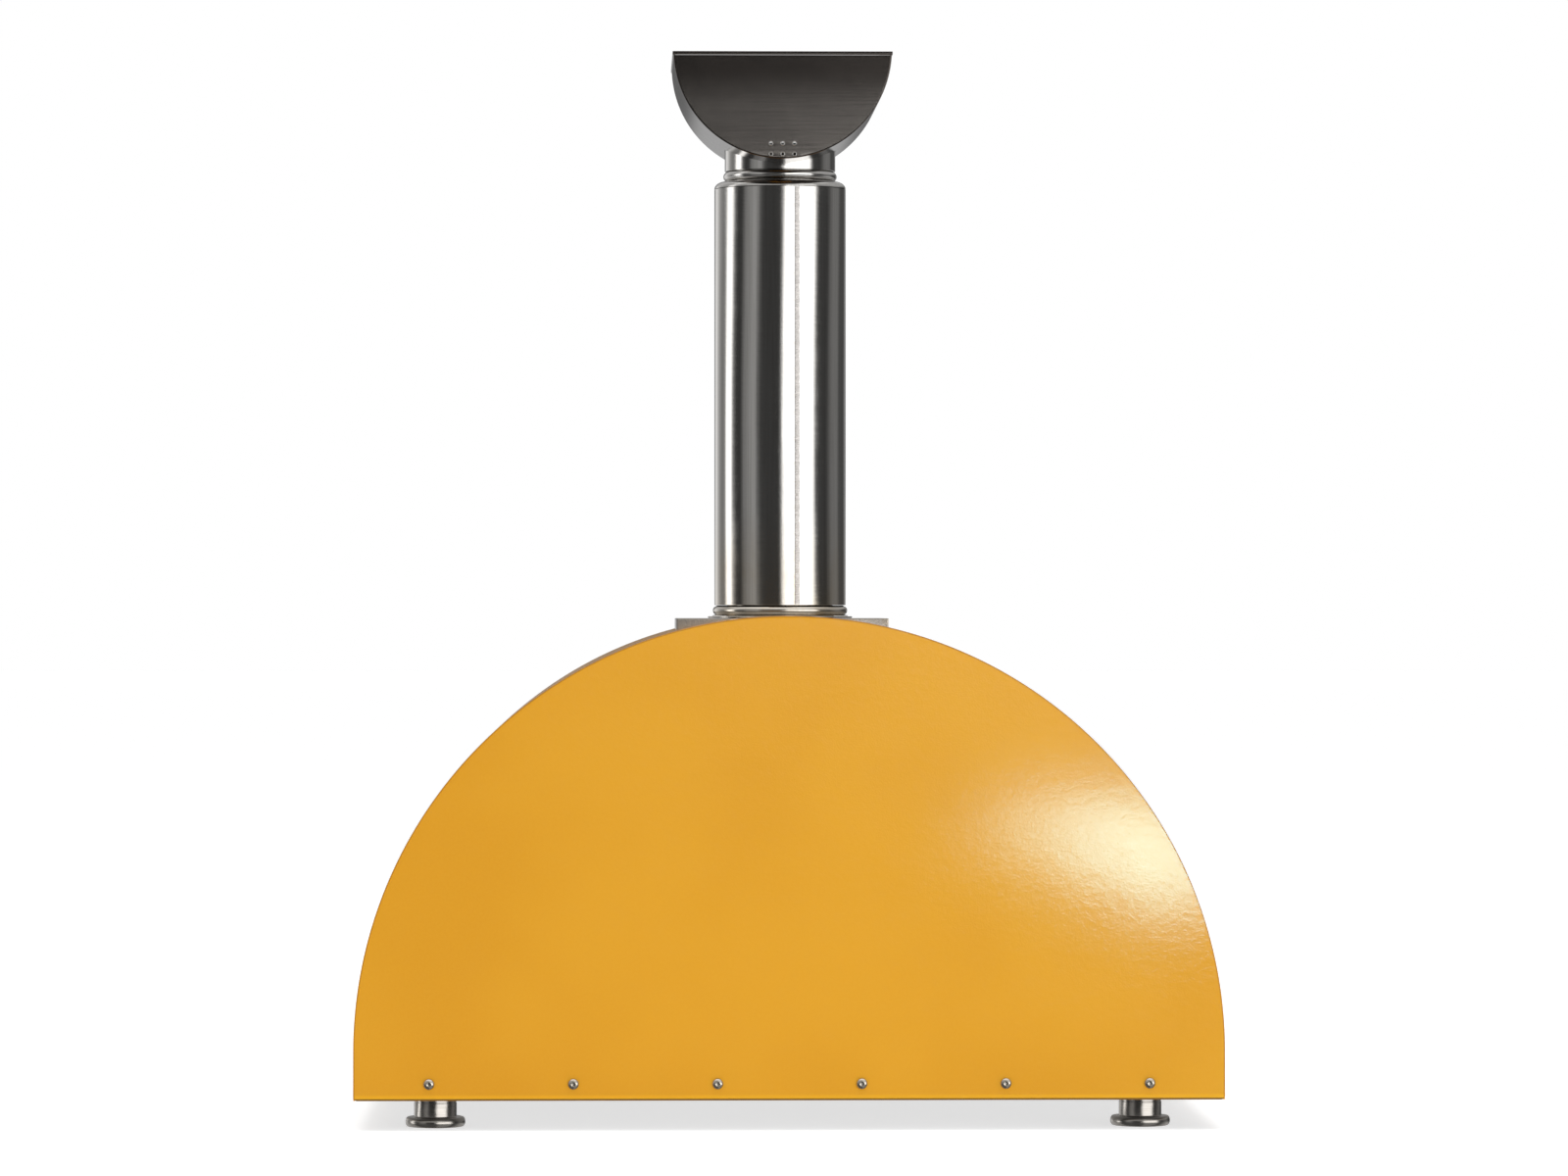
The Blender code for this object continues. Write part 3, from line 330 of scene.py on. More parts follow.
# ---------- finishes
class Nodes:
    """A shader node tree, built one node at a time."""

    def __init__(self, tree):
        self.tree = tree

    def add(self, kind, inputs=None, **settings):
        """A node with its inputs linked or set."""
        node = self.tree.nodes.new("ShaderNode" + kind)
        for key, value in settings.items():
            setattr(node, key, value)
        for key, value in (inputs or {}).items():
            if isinstance(value, bpy.types.NodeSocket):
                self.tree.links.new(value, node.inputs[key])
            else:
                node.inputs[key].default_value = value
        return node

    def maths(self, operation, first, second=0.0):
        return self.add("Math", {0: first, 1: second}, operation=operation).outputs[0]

    def times(self, first, second):
        return self.maths("MULTIPLY", first, second)

    def plus(self, first, second):
        return self.maths("ADD", first, second)

    def blend(self, factor, first, second):
        """Number between two, each a number or a socket."""
        return self.add("Mix", {"Factor": factor, 2: first, 3: second}, data_type="FLOAT").outputs[0]

    def ranged(self, value, low, high, to_low=0.0, to_high=1.0, ends="LINEAR"):
        """Maps a range of a value to another, clamped."""
        inputs = {"Value": value, "From Min": low, "From Max": high, "To Min": to_low, "To Max": to_high}
        return self.add("MapRange", inputs, interpolation_type=ends).outputs["Result"]


class Finish(Nodes):
    """A Principled material; its colour, roughness and relief follow the piece's own coordinates."""

    def __init__(self, name, colour, roughness, metallic=0.0, **sockets):
        self.material = bpy.data.materials.new(name)
        self.material.use_nodes = True
        super().__init__(self.material.node_tree)
        self.shader = self.tree.nodes["Principled BSDF"]
        self.place = self.add("TexCoord").outputs["Object"]
        self.normal = None
        values = {"Base Color": (*colour, 1.0), "Roughness": roughness, "Metallic": metallic}
        values.update({key.replace("_", " "): value for key, value in sockets.items()})
        for key, value in values.items():
            self.shader.inputs[key].default_value = value

    def stretched(self, stretch):
        """The piece's coordinates, scaled on each axis."""
        return self.add("Mapping", {"Vector": self.place, "Scale": stretch}).outputs["Vector"]

    def noise(self, cells, detail=3.0, rough=0.55, distortion=0.0, low=0.32, high=0.68):
        """Noise with that many cells a metre, one number or one for each axis, spread over 0 to 1."""
        if isinstance(cells, float):
            cells = (cells, cells, cells)
        inputs = {
            "Vector": self.stretched(cells),
            "Scale": 1.0,
            "Detail": detail,
            "Roughness": rough,
            "Distortion": distortion,
        }
        return self.spread(self.add("TexNoise", inputs).outputs["Fac"], low, high)

    def spread(self, value, low, high, to_low=0.0, to_high=1.0):
        """Maps a range of a value to another, clamped, with soft ends."""
        return self.ranged(value, low, high, to_low, to_high, "SMOOTHSTEP")

    def sides(self):
        """The piece's own coordinates, one by one."""
        return self.add("SeparateXYZ", {"Vector": self.place}).outputs

    def mix(self, factor, first, second):
        """Colour between two, each a colour or a socket."""
        inputs = {"Factor": factor}
        for key, value in ((6, first), (7, second)):
            inputs[key] = value if isinstance(value, bpy.types.NodeSocket) else (*value, 1.0)
        return self.add("Mix", inputs, data_type="RGBA").outputs[2]

    def colour(self, socket):
        self.tree.links.new(socket, self.shader.inputs["Base Color"])

    def roughness(self, value, low, high):
        """Roughness that follows a 0 to 1 value between two limits."""
        self.tree.links.new(self.spread(value, 0.0, 1.0, low, high), self.shader.inputs["Roughness"])

    def relief(self, value, distance):
        """Bump from a 0 to 1 value, as deep as that distance; repeated calls add up."""
        inputs = {"Height": value, "Distance": distance, "Strength": 1.0}
        if self.normal:
            inputs["Normal"] = self.normal
        self.normal = self.add("Bump", inputs).outputs["Normal"]
        self.tree.links.new(self.normal, self.shader.inputs["Normal"])


def powder_coat(name, rim=False, gloss=0.5):
    """Yellow semi-gloss powder coat: orange peel, faint drift of tone, handling marks; on the panel, painted
    shade along its edge and its bottom line, and a painted highlight just above that line.
    """
    finish = Finish(name, (0.80, 0.365, 0.022), 0.13, Specular_IOR_Level=gloss)
    drift = finish.noise(5.0, detail=2.0)
    speck = finish.noise(420.0, detail=2.0)
    tone = finish.mix(drift, (0.775, 0.346, 0.020), (0.815, 0.378, 0.024))
    tone = finish.mix(finish.times(speck, 0.10), tone, (0.86, 0.46, 0.040))
    if rim:
        low, high, _ = span("rear_panel")
        sides = finish.sides()
        up = finish.maths("MAXIMUM", finish.maths("SUBTRACT", sides["Z"], arch_centre()), 0.0)
        squares = finish.plus(finish.maths("POWER", sides["X"], 2.0), finish.maths("POWER", up, 2.0))
        reach = finish.maths("SQRT", squares)
        # Painted shade: a darker band along the panel's round edge and sides
        edge = finish.spread(reach, high.x - COAT_RIM, high.x - COAT_RIM / 4.0)
        # Painted highlight: a lighter band a few millimetres above the bottom edge
        painted_highlight_band = finish.spread(sides["Z"], low.z + 3.2 * COAT_RIM, low.z + 2.0 * COAT_RIM)
        tone = finish.mix(finish.times(painted_highlight_band, 0.7), tone, (0.92, 0.46, 0.020))
        tone = finish.mix(edge, tone, (0.52, 0.21, 0.010))
        # Painted shade: a dark line along the bottom edge
        foot = finish.spread(sides["Z"], low.z + 1.2 * COAT_RIM, low.z + 0.7 * COAT_RIM)
        tone = finish.mix(foot, tone, (0.22, 0.11, 0.020))
    finish.colour(tone)
    marks = finish.noise((16.0, 16.0, 46.0), detail=5.0, rough=0.7, distortion=1.5, low=0.45, high=0.75)
    finish.roughness(marks, 0.112, 0.135)
    finish.relief(finish.noise(650.0, detail=1.0), 0.000014)
    finish.relief(finish.noise(170.0, detail=2.0), 0.000022)
    return finish.material


def shade(tone, amount):
    """A colour made darker or lighter."""
    return tuple(min(1.0, value * amount) for value in tone)


def brushed(name, tone, stretch, roughness, tint=None, relief=0.000006):
    """Brushed stainless: streaks along the axis with the smallest stretch, smudges, an optional tint."""
    finish = Finish(name, tone, sum(roughness) / 2.0, 1.0)
    streaks = finish.noise(stretch, rough=0.7)
    broad = finish.noise(tuple(value * 0.25 for value in stretch), detail=2.0)
    smudges = finish.noise(22.0, detail=5.0, rough=0.65, distortion=0.8, low=0.42, high=0.74)
    base = finish.mix(streaks, shade(tone, 0.90), shade(tone, 1.07))
    if tint:
        base = finish.mix(finish.times(smudges, 0.45), base, tint)
    finish.colour(base)
    amount = finish.plus(finish.times(streaks, 0.35), finish.times(smudges, 0.45))
    finish.roughness(finish.plus(amount, finish.times(broad, 0.2)), *roughness)
    finish.relief(streaks, relief)
    return finish.material


def flue_polish():
    """Polished stainless tube with faint drawn streaks, and a straw heat tint low down."""
    finish = Finish("flue_polish", (0.60, 0.585, 0.56), 0.14, 1.0)
    low, _, _ = span("flue_sleeve")
    streaks = finish.noise((700.0, 700.0, 9.0), rough=0.7)
    lines = finish.noise((12.0, 12.0, 900.0), detail=2.0)
    haze = finish.noise((20.0, 20.0, 7.0), detail=4.0, rough=0.6, distortion=0.6, low=0.40, high=0.72)
    base = finish.mix(streaks, (0.565, 0.55, 0.525), (0.635, 0.62, 0.60))
    heat = finish.spread(finish.sides()["Z"], low.z + 0.10, low.z - 0.02)
    heat = finish.times(heat, finish.spread(haze, 0.0, 1.0, 0.25, 0.6))
    finish.colour(finish.mix(heat, base, (0.56, 0.44, 0.27)))
    finish.roughness(finish.plus(finish.times(haze, 0.7), finish.times(lines, 0.3)), 0.075, 0.135)
    finish.relief(streaks, 0.000004)
    finish.relief(lines, 0.0000025)
    return finish.material


def cowl_steel(name, darkened_from):
    """Brushed stainless under drifting haze, darkened from a height (above the trough's lowest line) up:
    painted shade as under the lid; a height below the trough darkens the whole piece.
    """
    low, _, _ = span("cap_trough")
    finish = Finish(name, (0.30, 0.28, 0.26), 0.13, 1.0)
    haze = finish.noise(26.0, detail=5.0, rough=0.65, distortion=0.9)
    streaks = finish.noise((14.0, 14.0, 700.0), rough=0.7)
    steel = finish.mix(streaks, (0.285, 0.262, 0.240), (0.325, 0.300, 0.276))
    # Painted shade: darker from a height up, as under the lid
    painted_shade = finish.spread(finish.sides()["Z"], low.z + darkened_from, low.z + darkened_from + 0.040)
    painted_shade = finish.times(painted_shade, finish.spread(haze, 0.0, 1.0, 0.84, 0.87))
    shaded_steel = finish.mix(painted_shade, steel, (0.095, 0.082, 0.074))
    finish.colour(finish.mix(finish.times(haze, 0.05), shaded_steel, (0.24, 0.21, 0.18)))
    finish.roughness(haze, 0.125, 0.135)
    finish.relief(streaks, 0.000003)
    return finish.material


def heated_steel(name, soot_from, soot_to):
    """Chamber steel: straw to brown heat colours and patches of soot that thicken with height."""
    finish = Finish(name, (0.42, 0.36, 0.30), 0.42, 1.0)
    patches = finish.noise(9.0, detail=6.0, rough=0.65, distortion=1.2)
    fine = finish.noise(160.0)
    metal = finish.mix(patches, (0.50, 0.44, 0.36), (0.36, 0.27, 0.19))
    rise = finish.spread(finish.sides()["Z"], soot_from, soot_to)
    soot = finish.spread(finish.plus(rise, finish.times(patches, 0.5)), 0.35, 1.15)
    finish.colour(finish.mix(soot, metal, (0.035, 0.030, 0.027)))
    finish.tree.links.new(finish.spread(soot, 0.0, 1.0, 1.0, 0.15), finish.shader.inputs["Metallic"])
    finish.roughness(soot, 0.34, 0.85)
    finish.relief(fine, 0.00005)
    return finish.material


def turned_steel(name, axis, tone, roughness):
    """Lathe-turned stainless: fine rings along the turning axis."""
    stretch = tuple(1500.0 if letter == axis else 40.0 for letter in "XYZ")
    return brushed(name, tone, stretch, roughness, relief=0.000003)


def refractory():
    """Buff firebrick: grog specks, pores with painted shade in them, scorch and soot stains, grey ash."""
    finish = Finish("refractory_tile", (0.62, 0.50, 0.37), 0.92)
    grain = finish.noise(90.0, detail=6.0, rough=0.7)
    patches = finish.noise(8.0, detail=6.0, rough=0.6, distortion=1.0)
    cells = finish.add("TexVoronoi", {"Vector": finish.place, "Scale": 240.0}).outputs["Distance"]
    pores = finish.spread(cells, 0.10, 0.30)
    base = finish.mix(grain, (0.66, 0.54, 0.40), (0.52, 0.39, 0.27))
    worn = finish.mix(finish.spread(patches, 0.45, 0.95), base, (0.16, 0.13, 0.11))
    ash = finish.noise(14.0, detail=7.0, rough=0.75, low=0.50, high=0.72)
    dusted = finish.mix(finish.times(ash, 0.55), worn, (0.55, 0.53, 0.50))
    # Painted shade in the pores
    pore_shade = finish.times(finish.maths("SUBTRACT", 1.0, pores), 0.5)
    finish.colour(finish.mix(pore_shade, dusted, (0.20, 0.14, 0.10)))
    finish.relief(grain, 0.0005)
    finish.relief(pores, 0.0004)
    return finish.material


def fibre(name, tone):
    """Ceramic fibre: short tangled strands and shallow lumps."""
    finish = Finish(name, tone, 0.95)
    strands = finish.noise((60.0, 900.0, 250.0), detail=5.0, rough=0.75, distortion=3.0)
    lumps = finish.noise(45.0)
    finish.colour(finish.mix(strands, shade(tone, 0.82), tone))
    finish.relief(strands, 0.0006)
    finish.relief(lumps, 0.002)
    return finish.material


def grip_wood():
    """Oiled beech-brown wood with growth rings along the grip and fine pores."""
    finish = Finish("oiled_wood", (0.30, 0.15, 0.06), 0.42, Coat_Weight=0.15, Coat_Roughness=0.35)
    wave = finish.add("TexWave", {
        "Vector": finish.stretched((6.0, 60.0, 60.0)),
        "Scale": 1.6,
        "Distortion": 5.0,
        "Detail": 4.0,
        "Detail Scale": 1.4,
    }, wave_type="RINGS", rings_direction="X").outputs["Fac"]
    pores = finish.noise((90.0, 2200.0, 2200.0), low=0.52, high=0.70)
    base = finish.mix(wave, (0.22, 0.095, 0.035), (0.42, 0.215, 0.085))
    finish.colour(finish.mix(finish.times(pores, 0.6), base, (0.10, 0.045, 0.018)))
    finish.roughness(wave, 0.38, 0.52)
    finish.relief(pores, -0.00006)
    finish.relief(wave, 0.00004)
    return finish.material


def enamel(name, tone, roughness=0.35):
    """Painted or enamelled face with faint mottling."""
    finish = Finish(name, tone, roughness)
    mottle = finish.noise(220.0)
    finish.colour(finish.mix(mottle, shade(tone, 0.93), tone))
    finish.roughness(mottle, roughness * 0.9, roughness * 1.15)
    finish.relief(mottle, 0.000008)
    return finish.material


def lens_glass():
    """Clear lens with a trace of dust."""
    finish = Finish("lens_glass", (1.0, 1.0, 1.0), 0.02, Transmission_Weight=1.0, IOR=1.47)
    dust = finish.noise(240.0, detail=5.0, low=0.55, high=0.80)
    finish.roughness(dust, 0.015, 0.07)
    return finish.material


def weld_steel():
    """Duller, rippled bead of the flue's longitudinal weld."""
    finish = Finish("weld_steel", (0.30, 0.28, 0.27), 0.26, 1.0)
    ripple = finish.noise((40.0, 40.0, 520.0), detail=4.0, rough=0.7)
    finish.colour(finish.mix(ripple, (0.36, 0.34, 0.325), (0.50, 0.48, 0.46)))
    finish.roughness(ripple, 0.20, 0.42)
    finish.relief(ripple, 0.00006)
    return finish.material


TROUGH_HEIGHT = span("cap_trough")[1].z - span("cap_trough")[0].z
FINISHES = {
    "yellow": powder_coat("yellow_powder_coat", gloss=0.3),
    "panel": powder_coat("yellow_panel_coat", rim=True),
    "facade": brushed("facade_steel", (0.58, 0.565, 0.545), (9.0, 900.0, 900.0), (0.19, 0.33)),
    "box": brushed(
        "collector_steel", (0.42, 0.385, 0.34), (900.0, 14.0, 900.0), (0.06, 0.12), (0.46, 0.33, 0.16)
    ),
    "tray": brushed("tray_steel", (0.52, 0.51, 0.50), (30.0, 400.0, 400.0), (0.30, 0.45)),
    "flue": flue_polish(),
    "weld": weld_steel(),
    "cowl": cowl_steel("shaded_cowl_steel", TROUGH_HEIGHT - 0.052),
    "trough": cowl_steel("darkened_trough_steel", -0.10),
    "foot": turned_steel("turned_foot_steel", "Z", (0.42, 0.395, 0.365), (0.20, 0.23)),
    "screw": turned_steel("screw_steel", "Y", (0.58, 0.53, 0.45), (0.20, 0.30)),
    "door": brushed("door_steel", (0.44, 0.43, 0.415), (850.0, 850.0, 10.0), (0.20, 0.32)),
    "fitting": brushed("fitting_steel", (0.66, 0.645, 0.62), (260.0, 260.0, 260.0), (0.15, 0.26)),
    "chamber": heated_steel("chamber_steel", 0.10, 0.34),
    "tunnel": heated_steel("tunnel_steel", 0.12, 0.36),
    "refractory": refractory(),
    "fibre": fibre("ceramic_fibre", (0.84, 0.83, 0.80)),
    "board": fibre("insulation_board", (0.72, 0.69, 0.63)),
    "wood": grip_wood(),
    "dial": enamel("dial_enamel", (0.82, 0.80, 0.74)),
    "ink": enamel("dial_ink", (0.03, 0.03, 0.032), 0.45),
    "needle": enamel("needle_paint", (0.55, 0.03, 0.02)),
    "lens": lens_glass(),
}


# ---------- fasteners
def button_head(node, body, outward):
    """Button-head screw with a hexagon socket in a CAD node's place, its head at the outward end."""
    low, high, middle = span(node)
    along, across = (0, 2) if outward[0] else (1, 0)
    length = high[along] - low[along]
    radius = (high[across] - low[across]) / 2.0
    head = HEAD_SHARE * radius
    stem, foot = 0.52 * radius, head - length
    sides, per_side = 6, 6
    steps = sides * per_side

    def ring(reach, height, hexagon=0.0):
        row = []
        for step in range(steps):
            turn = math.tau * step / steps
            within = (turn % (math.tau / sides)) - math.pi / sides
            flat = SOCKET_SHARE * radius / math.cos(within)
            spoke = reach + (flat - reach) * hexagon
            row.append((spoke * math.cos(turn), spoke * math.sin(turn), height))
        return row

    rim = 0.16 * head
    rows = [ring(0.0, foot), ring(stem, foot), ring(stem, 0.0)]
    rows += [ring(radius * 0.97, 0.0), ring(radius, rim * 0.5), ring(radius, rim)]
    slope = 64.0
    crown = (head - rim) / math.sin(math.radians(slope))
    rows += [ring(reach, height) for reach, height in oval(0.0, rim, radius, crown, 0.0, slope, 8)[1:]]
    rows += [ring(0.0, head, 1.06), ring(0.0, head - 0.0001, 1.0)]
    rows += [ring(0.0, head * 0.34, 1.0), ring(0.0, head * 0.22)]
    shape = bmesh.new()
    grid(shape, rows, wrap_columns=True)
    aim = Vector(outward).to_track_quat("Z", "Y").to_matrix().to_4x4()
    seat = middle.copy()
    seat[along] = high[along] - head if outward[along] > 0.0 else low[along] + head
    bmesh.ops.transform(shape, matrix=Matrix.Translation(seat) @ aim, verts=shape.verts)
    settle(as_object(node + "_head", shape), body, "screw_steel", "screw", node)


def make_screws():
    """The oven's and the door's button-head screws."""
    for node in frame["record"]["behaviour"]["bodies"]["oven"]:
        if "_screw_" in node:
            button_head(node, "oven", (0.0, 1.0 if node.startswith("rear") else -1.0, 0.0))
    button_head("handle_end_screw_left", "door", (-1.0, 0.0, 0.0))
    button_head("handle_end_screw_right", "door", (1.0, 0.0, 0.0))


# ---------- body
def screw_holes(kind, count):
    """Round outlines where a row of screws goes through a sheet."""
    middles = [span(f"{kind}_screw_{index + 1}")[2] for index in range(count)]
    return [circle(middle.x, middle.z, SCREW_HOLE) for middle in middles]


def make_rear_panel():
    """Flat half-round panel with slightly rounded lower corners and six screw holes."""
    low, high, _ = span("rear_panel")
    outlines = [half_round(high.x, low.z, corner=0.0035)] + screw_holes("rear", 6)
    obj = flat_plate("rear_panel_sheet", outlines, low.y, high.y, edge=0.0008)
    settle(obj, "oven", "yellow_coating", "panel", "rear_panel")


def make_shell():
    """Half-round outer shell with a window for the collector box."""
    obj = arch_shell("dome_shell_sheet", "dome_shell", SHEET, window="flue_box")
    settle(obj, "oven", "yellow_coating", "yellow", "dome_shell")


def make_facade():
    """Facade with its half-round mouth and four screw holes."""
    low, high, _ = span("front_facade")
    lip = 0.0010
    mouth = half_moon(span("mouth_tunnel")[1].z - arch_centre() - lip, span("shelf_bracket")[1].z)
    outlines = [half_round(high.x, low.z, corner=0.002), mouth] + screw_holes("facade", 4)
    obj = flat_plate("front_facade_sheet", outlines, low.y, high.y)
    settle(obj, "oven", "facade_steel", "facade", "front_facade")


def make_shelf():
    """Landing shelf with a rounded turn-down at its front, and its bracket."""
    low, high, _ = span("landing_shelf")
    half, bend = HEAVY_SHEET / 2.0, 0.0030
    path = [(high.y, high.z - half)]
    path += arc(low.y + half + bend, high.z - half - bend, bend, 90.0, 180.0, 8)
    path += [(low.y + half, low.z)]
    shape = bmesh.new()
    grid(shape, [[(x, y, z) for y, z in path] for x in (low.x, high.x)])
    obj = soften(thicken(as_object("landing_shelf_sheet", shape), HEAVY_SHEET), SHEET_EDGE, angle=50.0)
    settle(obj, "oven", "facade_steel", "facade", "landing_shelf")
    dress("shelf_bracket", "facade", edge=0.0005)


def make_base():
    """Base tray, feet and nuts."""
    dress("base_tray", "tray", SHEET_EDGE)
    for place in ("rear_left", "rear_right", "front_left", "front_right"):
        make_foot("foot_" + place)
        dress("foot_nut_" + place, "screw", SHEET_EDGE)


def make_foot(node):
    """Turned foot: flange with a rounded rim, straight body with a fine groove, and the stud."""
    low, high, middle = span(node)
    flange, sole, body, stud = (high.x - low.x) / 2.0, 0.0235, 0.0185, 0.0040
    flange_top, top = 0.0085, 0.0257
    corner, groove, edge = 0.0008, 0.0004, 0.0006
    profile = [(0.0, 0.0010), (sole - 0.0030, 0.0010), (sole - 0.0025, 0.0), (sole - edge, 0.0)]
    profile += oval(sole, flange_top / 2.0, flange - sole, flange_top / 2.0, -78.0, 78.0, 20)
    profile += [(sole - edge, flange_top)]
    profile += arc(body + corner, flange_top + corner, corner, 270.0, 180.0, 4)
    profile += [(body, top - 0.0050), (body - groove, top - 0.0047)]
    profile += [(body - groove, top - 0.0041), (body, top - 0.0038)]
    profile += arc(body - corner, top - corner, corner, 0.0, 90.0, 4)
    profile += [(stud, top), (stud, high.z - edge), (stud - edge, high.z), (0.0, high.z)]
    obj = turned(node + "_turning", profile, (middle.x, middle.y), steps=96)
    settle(obj, "oven", "foot_steel", "foot", node)


def make_chamber():
    """Vault, end walls, mouth lining, tiles and insulation."""
    for node in ("inner_vault", "chamber_back_wall", "chamber_front_wall"):
        dress(node, "chamber", edge=0.0003)
    lining = arch_shell("mouth_tunnel_sheet", "mouth_tunnel", THIN_SHEET)
    settle(lining, "oven", "chamber_steel", "tunnel", "mouth_tunnel")
    for side in ("left", "right"):
        low, high, _ = span("floor_brick_" + side)
        tile = block("floor_tile_" + side, low, high, edge=0.0014)
        settle(tile, "oven", "refractory", "refractory", "floor_brick_" + side)
    dress("floor_insulation_board", "board")
    for node in ("insulation_blanket", "insulation_back_pad", "insulation_front_pad", "door_insulation"):
        dress(node, "fibre")


# ---------- smoke path
def flue_axis():
    """(x, y) of the flue's axis."""
    _, _, middle = span("flue_sleeve")
    return (middle.x, middle.y)


def flue_piece(node, suffix, profile, body="flue", steps=FLUE_STEPS):
    """Polished tube or ring round the flue's axis, in a CAD node's place."""
    obj = turned(node + suffix, profile, flue_axis(), steps=steps, ring=True)
    settle(obj, body, "flue_steel", "flue", node)


def tube_wall(node, wall):
    """Closed profile of a CAD node's tube, its ends softened."""
    low, high, _ = span(node)
    outer, edge = (high.x - low.x) / 2.0, 0.0003
    bore = outer - wall
    profile = [(bore, low.z + edge), (bore + edge, low.z), (outer - edge, low.z), (outer, low.z + edge)]
    profile += [(outer, high.z - edge), (outer - edge, high.z), (bore + edge, high.z), (bore, high.z - edge)]
    return profile


def make_smoke_box():
    """Collector box, and the spigot with its flashing plate."""
    dress("flue_box", "box", edge=0.0009)
    low, high, _ = span("flue_spigot")
    outer, bore, edge, fillet = 0.0480, 0.0470, 0.0005, 0.0012
    rim = (high.x - low.x) / 2.0
    plate_low = span("flue_box")[1].z + FIT
    plate_high = plate_low + SHEET
    profile = [(bore, low.z), (outer, low.z), (outer, plate_low), (rim - edge, plate_low)]
    profile += [(rim, plate_low + edge), (rim, plate_high - edge), (rim - edge, plate_high)]
    profile += [(outer + fillet, plate_high), (outer, plate_high + fillet), (outer, high.z), (bore, high.z)]
    obj = turned("flue_spigot_spinning", profile, flue_axis(), ring=True)
    settle(obj, "oven", "facade_steel", "box", "flue_spigot")


def make_flue():
    """Sleeve, liner, beaded base ring and rounded top ring, with the sleeve's weld seam."""
    for node in ("flue_sleeve", "flue_liner"):
        flue_piece(node, "_tube", tube_wall(node, 0.0010))

    low, high, _ = span("flue_base_ring")
    outer, bore, bead = (high.x - low.x) / 2.0, 0.0490, 0.0040
    middle_z = high.z - 0.0006 - bead
    profile = [(bore, low.z), (outer + 0.0005, low.z), (outer + 0.0006, low.z + 0.0004)]
    profile += [(outer - 0.0025, middle_z - bead * 0.92)]
    profile += arc(outer - bead, middle_z, bead, -62.0, 72.0, 14)
    profile += [(outer - bead, high.z), (bore, high.z)]
    flue_piece("flue_base_ring", "_bead", profile)

    low, high, _ = span("flue_top_ring")
    outer, flat, bore = (high.x - low.x) / 2.0, 0.0515, 0.0485
    profile = [(bore, low.z)] + oval(flat, low.z, outer - flat, high.z - low.z, 0.0, 90.0, 14)
    flue_piece("flue_top_ring", "_shoulder", profile + [(bore, high.z)])
    make_seam()


def make_seam():
    """Longitudinal weld: a low bead let into the sleeve, its width pulsing a little."""
    low, high, middle = span("flue_sleeve")
    outer = (high.x - low.x) / 2.0
    half_width, rise, sunk, inset = 0.0023, 0.00022, 0.0004, 0.0006
    section = []
    for step in range(9):
        share = -1.0 + step / 4.0
        section.append((share * half_width, outer + rise * (1.0 - share * share)))
    section += [(half_width, outer - sunk), (-half_width, outer - sunk)]
    stations = 160
    rows = []
    for step in range(stations + 1):
        z = low.z + inset + (high.z - low.z - 2.0 * inset) * step / stations
        pulse = 1.0 + 0.06 * math.sin(step * 1.9) + 0.05 * math.sin(step * 0.7 + 1.0)
        row = []
        for across, radius in section:
            turn = math.radians(90.0 + SEAM_TURN) + across * pulse / outer
            row.append((middle.x + radius * math.cos(turn), middle.y + radius * math.sin(turn), z))
        rows.append(row)
    shape = bmesh.new()
    capped(shape, rows)
    settle(as_object("flue_weld_seam", shape), "flue", "flue_steel", "weld")


def make_cap():
    """Seat ring with its bead, neck, trough, rear plate and lid."""
    low, high, _ = span("cap_seat_ring")
    outer, tube, bore = (high.x - low.x) / 2.0, 0.0480, 0.0470
    bead_low = span("flue_top_ring")[1].z + FIT
    bead_high = span("cap_neck")[0].z - FIT
    rise = (bead_high - bead_low) / 2.0
    profile = [(bore, low.z), (tube, low.z)]
    profile += oval(tube, bead_low + rise, outer - tube, rise, -90.0, 90.0, 20)
    profile += [(tube, high.z), (bore, high.z)]
    flue_piece("cap_seat_ring", "_bead", profile, "cap_seat", CAP_STEPS)
    flue_piece("cap_neck", "_tube", tube_wall("cap_neck", 0.0013), "cowl", CAP_STEPS)
    make_trough()
    make_rear_plate()
    low, high, _ = span("cap_lid")
    settle(block("cap_lid_sheet", low, high, edge=0.0005), "cowl", "cowl_steel", "cowl", "cap_lid")


def cowl_arc(radius, top):
    """(x, z) points round the cowl's underside at a radius, up to the same height on both sides."""
    low, high, middle = span("cap_trough")
    centre_z = low.z + (high.x - low.x) / 2.0
    lean = math.degrees(math.asin((centre_z - top) / radius))
    return arc(middle.x, centre_z, radius, -lean, lean - 180.0, ARCH_STEPS)


def make_trough():
    """Half-round trough, open to the front, its rear edge rounded in towards the plate."""
    low, high, _ = span("cap_trough")
    outer, half = (high.x - low.x) / 2.0, THIN_SHEET / 2.0
    bend_y, straight = high.y - COWL_EDGE, 18
    bands = [(outer - half, low.y + (bend_y - low.y) * step / straight) for step in range(straight)]
    bands += arc(outer - COWL_EDGE, bend_y, COWL_EDGE - half, 0.0, 90.0, 14)
    shape = bmesh.new()
    grid(shape, [[(x, y, z) for x, z in cowl_arc(radius, high.z)] for radius, y in bands])
    obj = thicken(as_object("cap_trough_sheet", shape), THIN_SHEET, even=False)
    neck_low, neck_high, _ = span("cap_neck")
    opening = (neck_high.x - neck_low.x) / 2.0 + FIT
    profile = [(0.0, neck_low.z), (opening, neck_low.z), (opening, high.z), (0.0, high.z)]
    carve(obj, turned("neck_form", profile, flue_axis()))
    even_normals(obj)
    settle(obj, "cowl", "cowl_steel", "trough", "cap_trough")


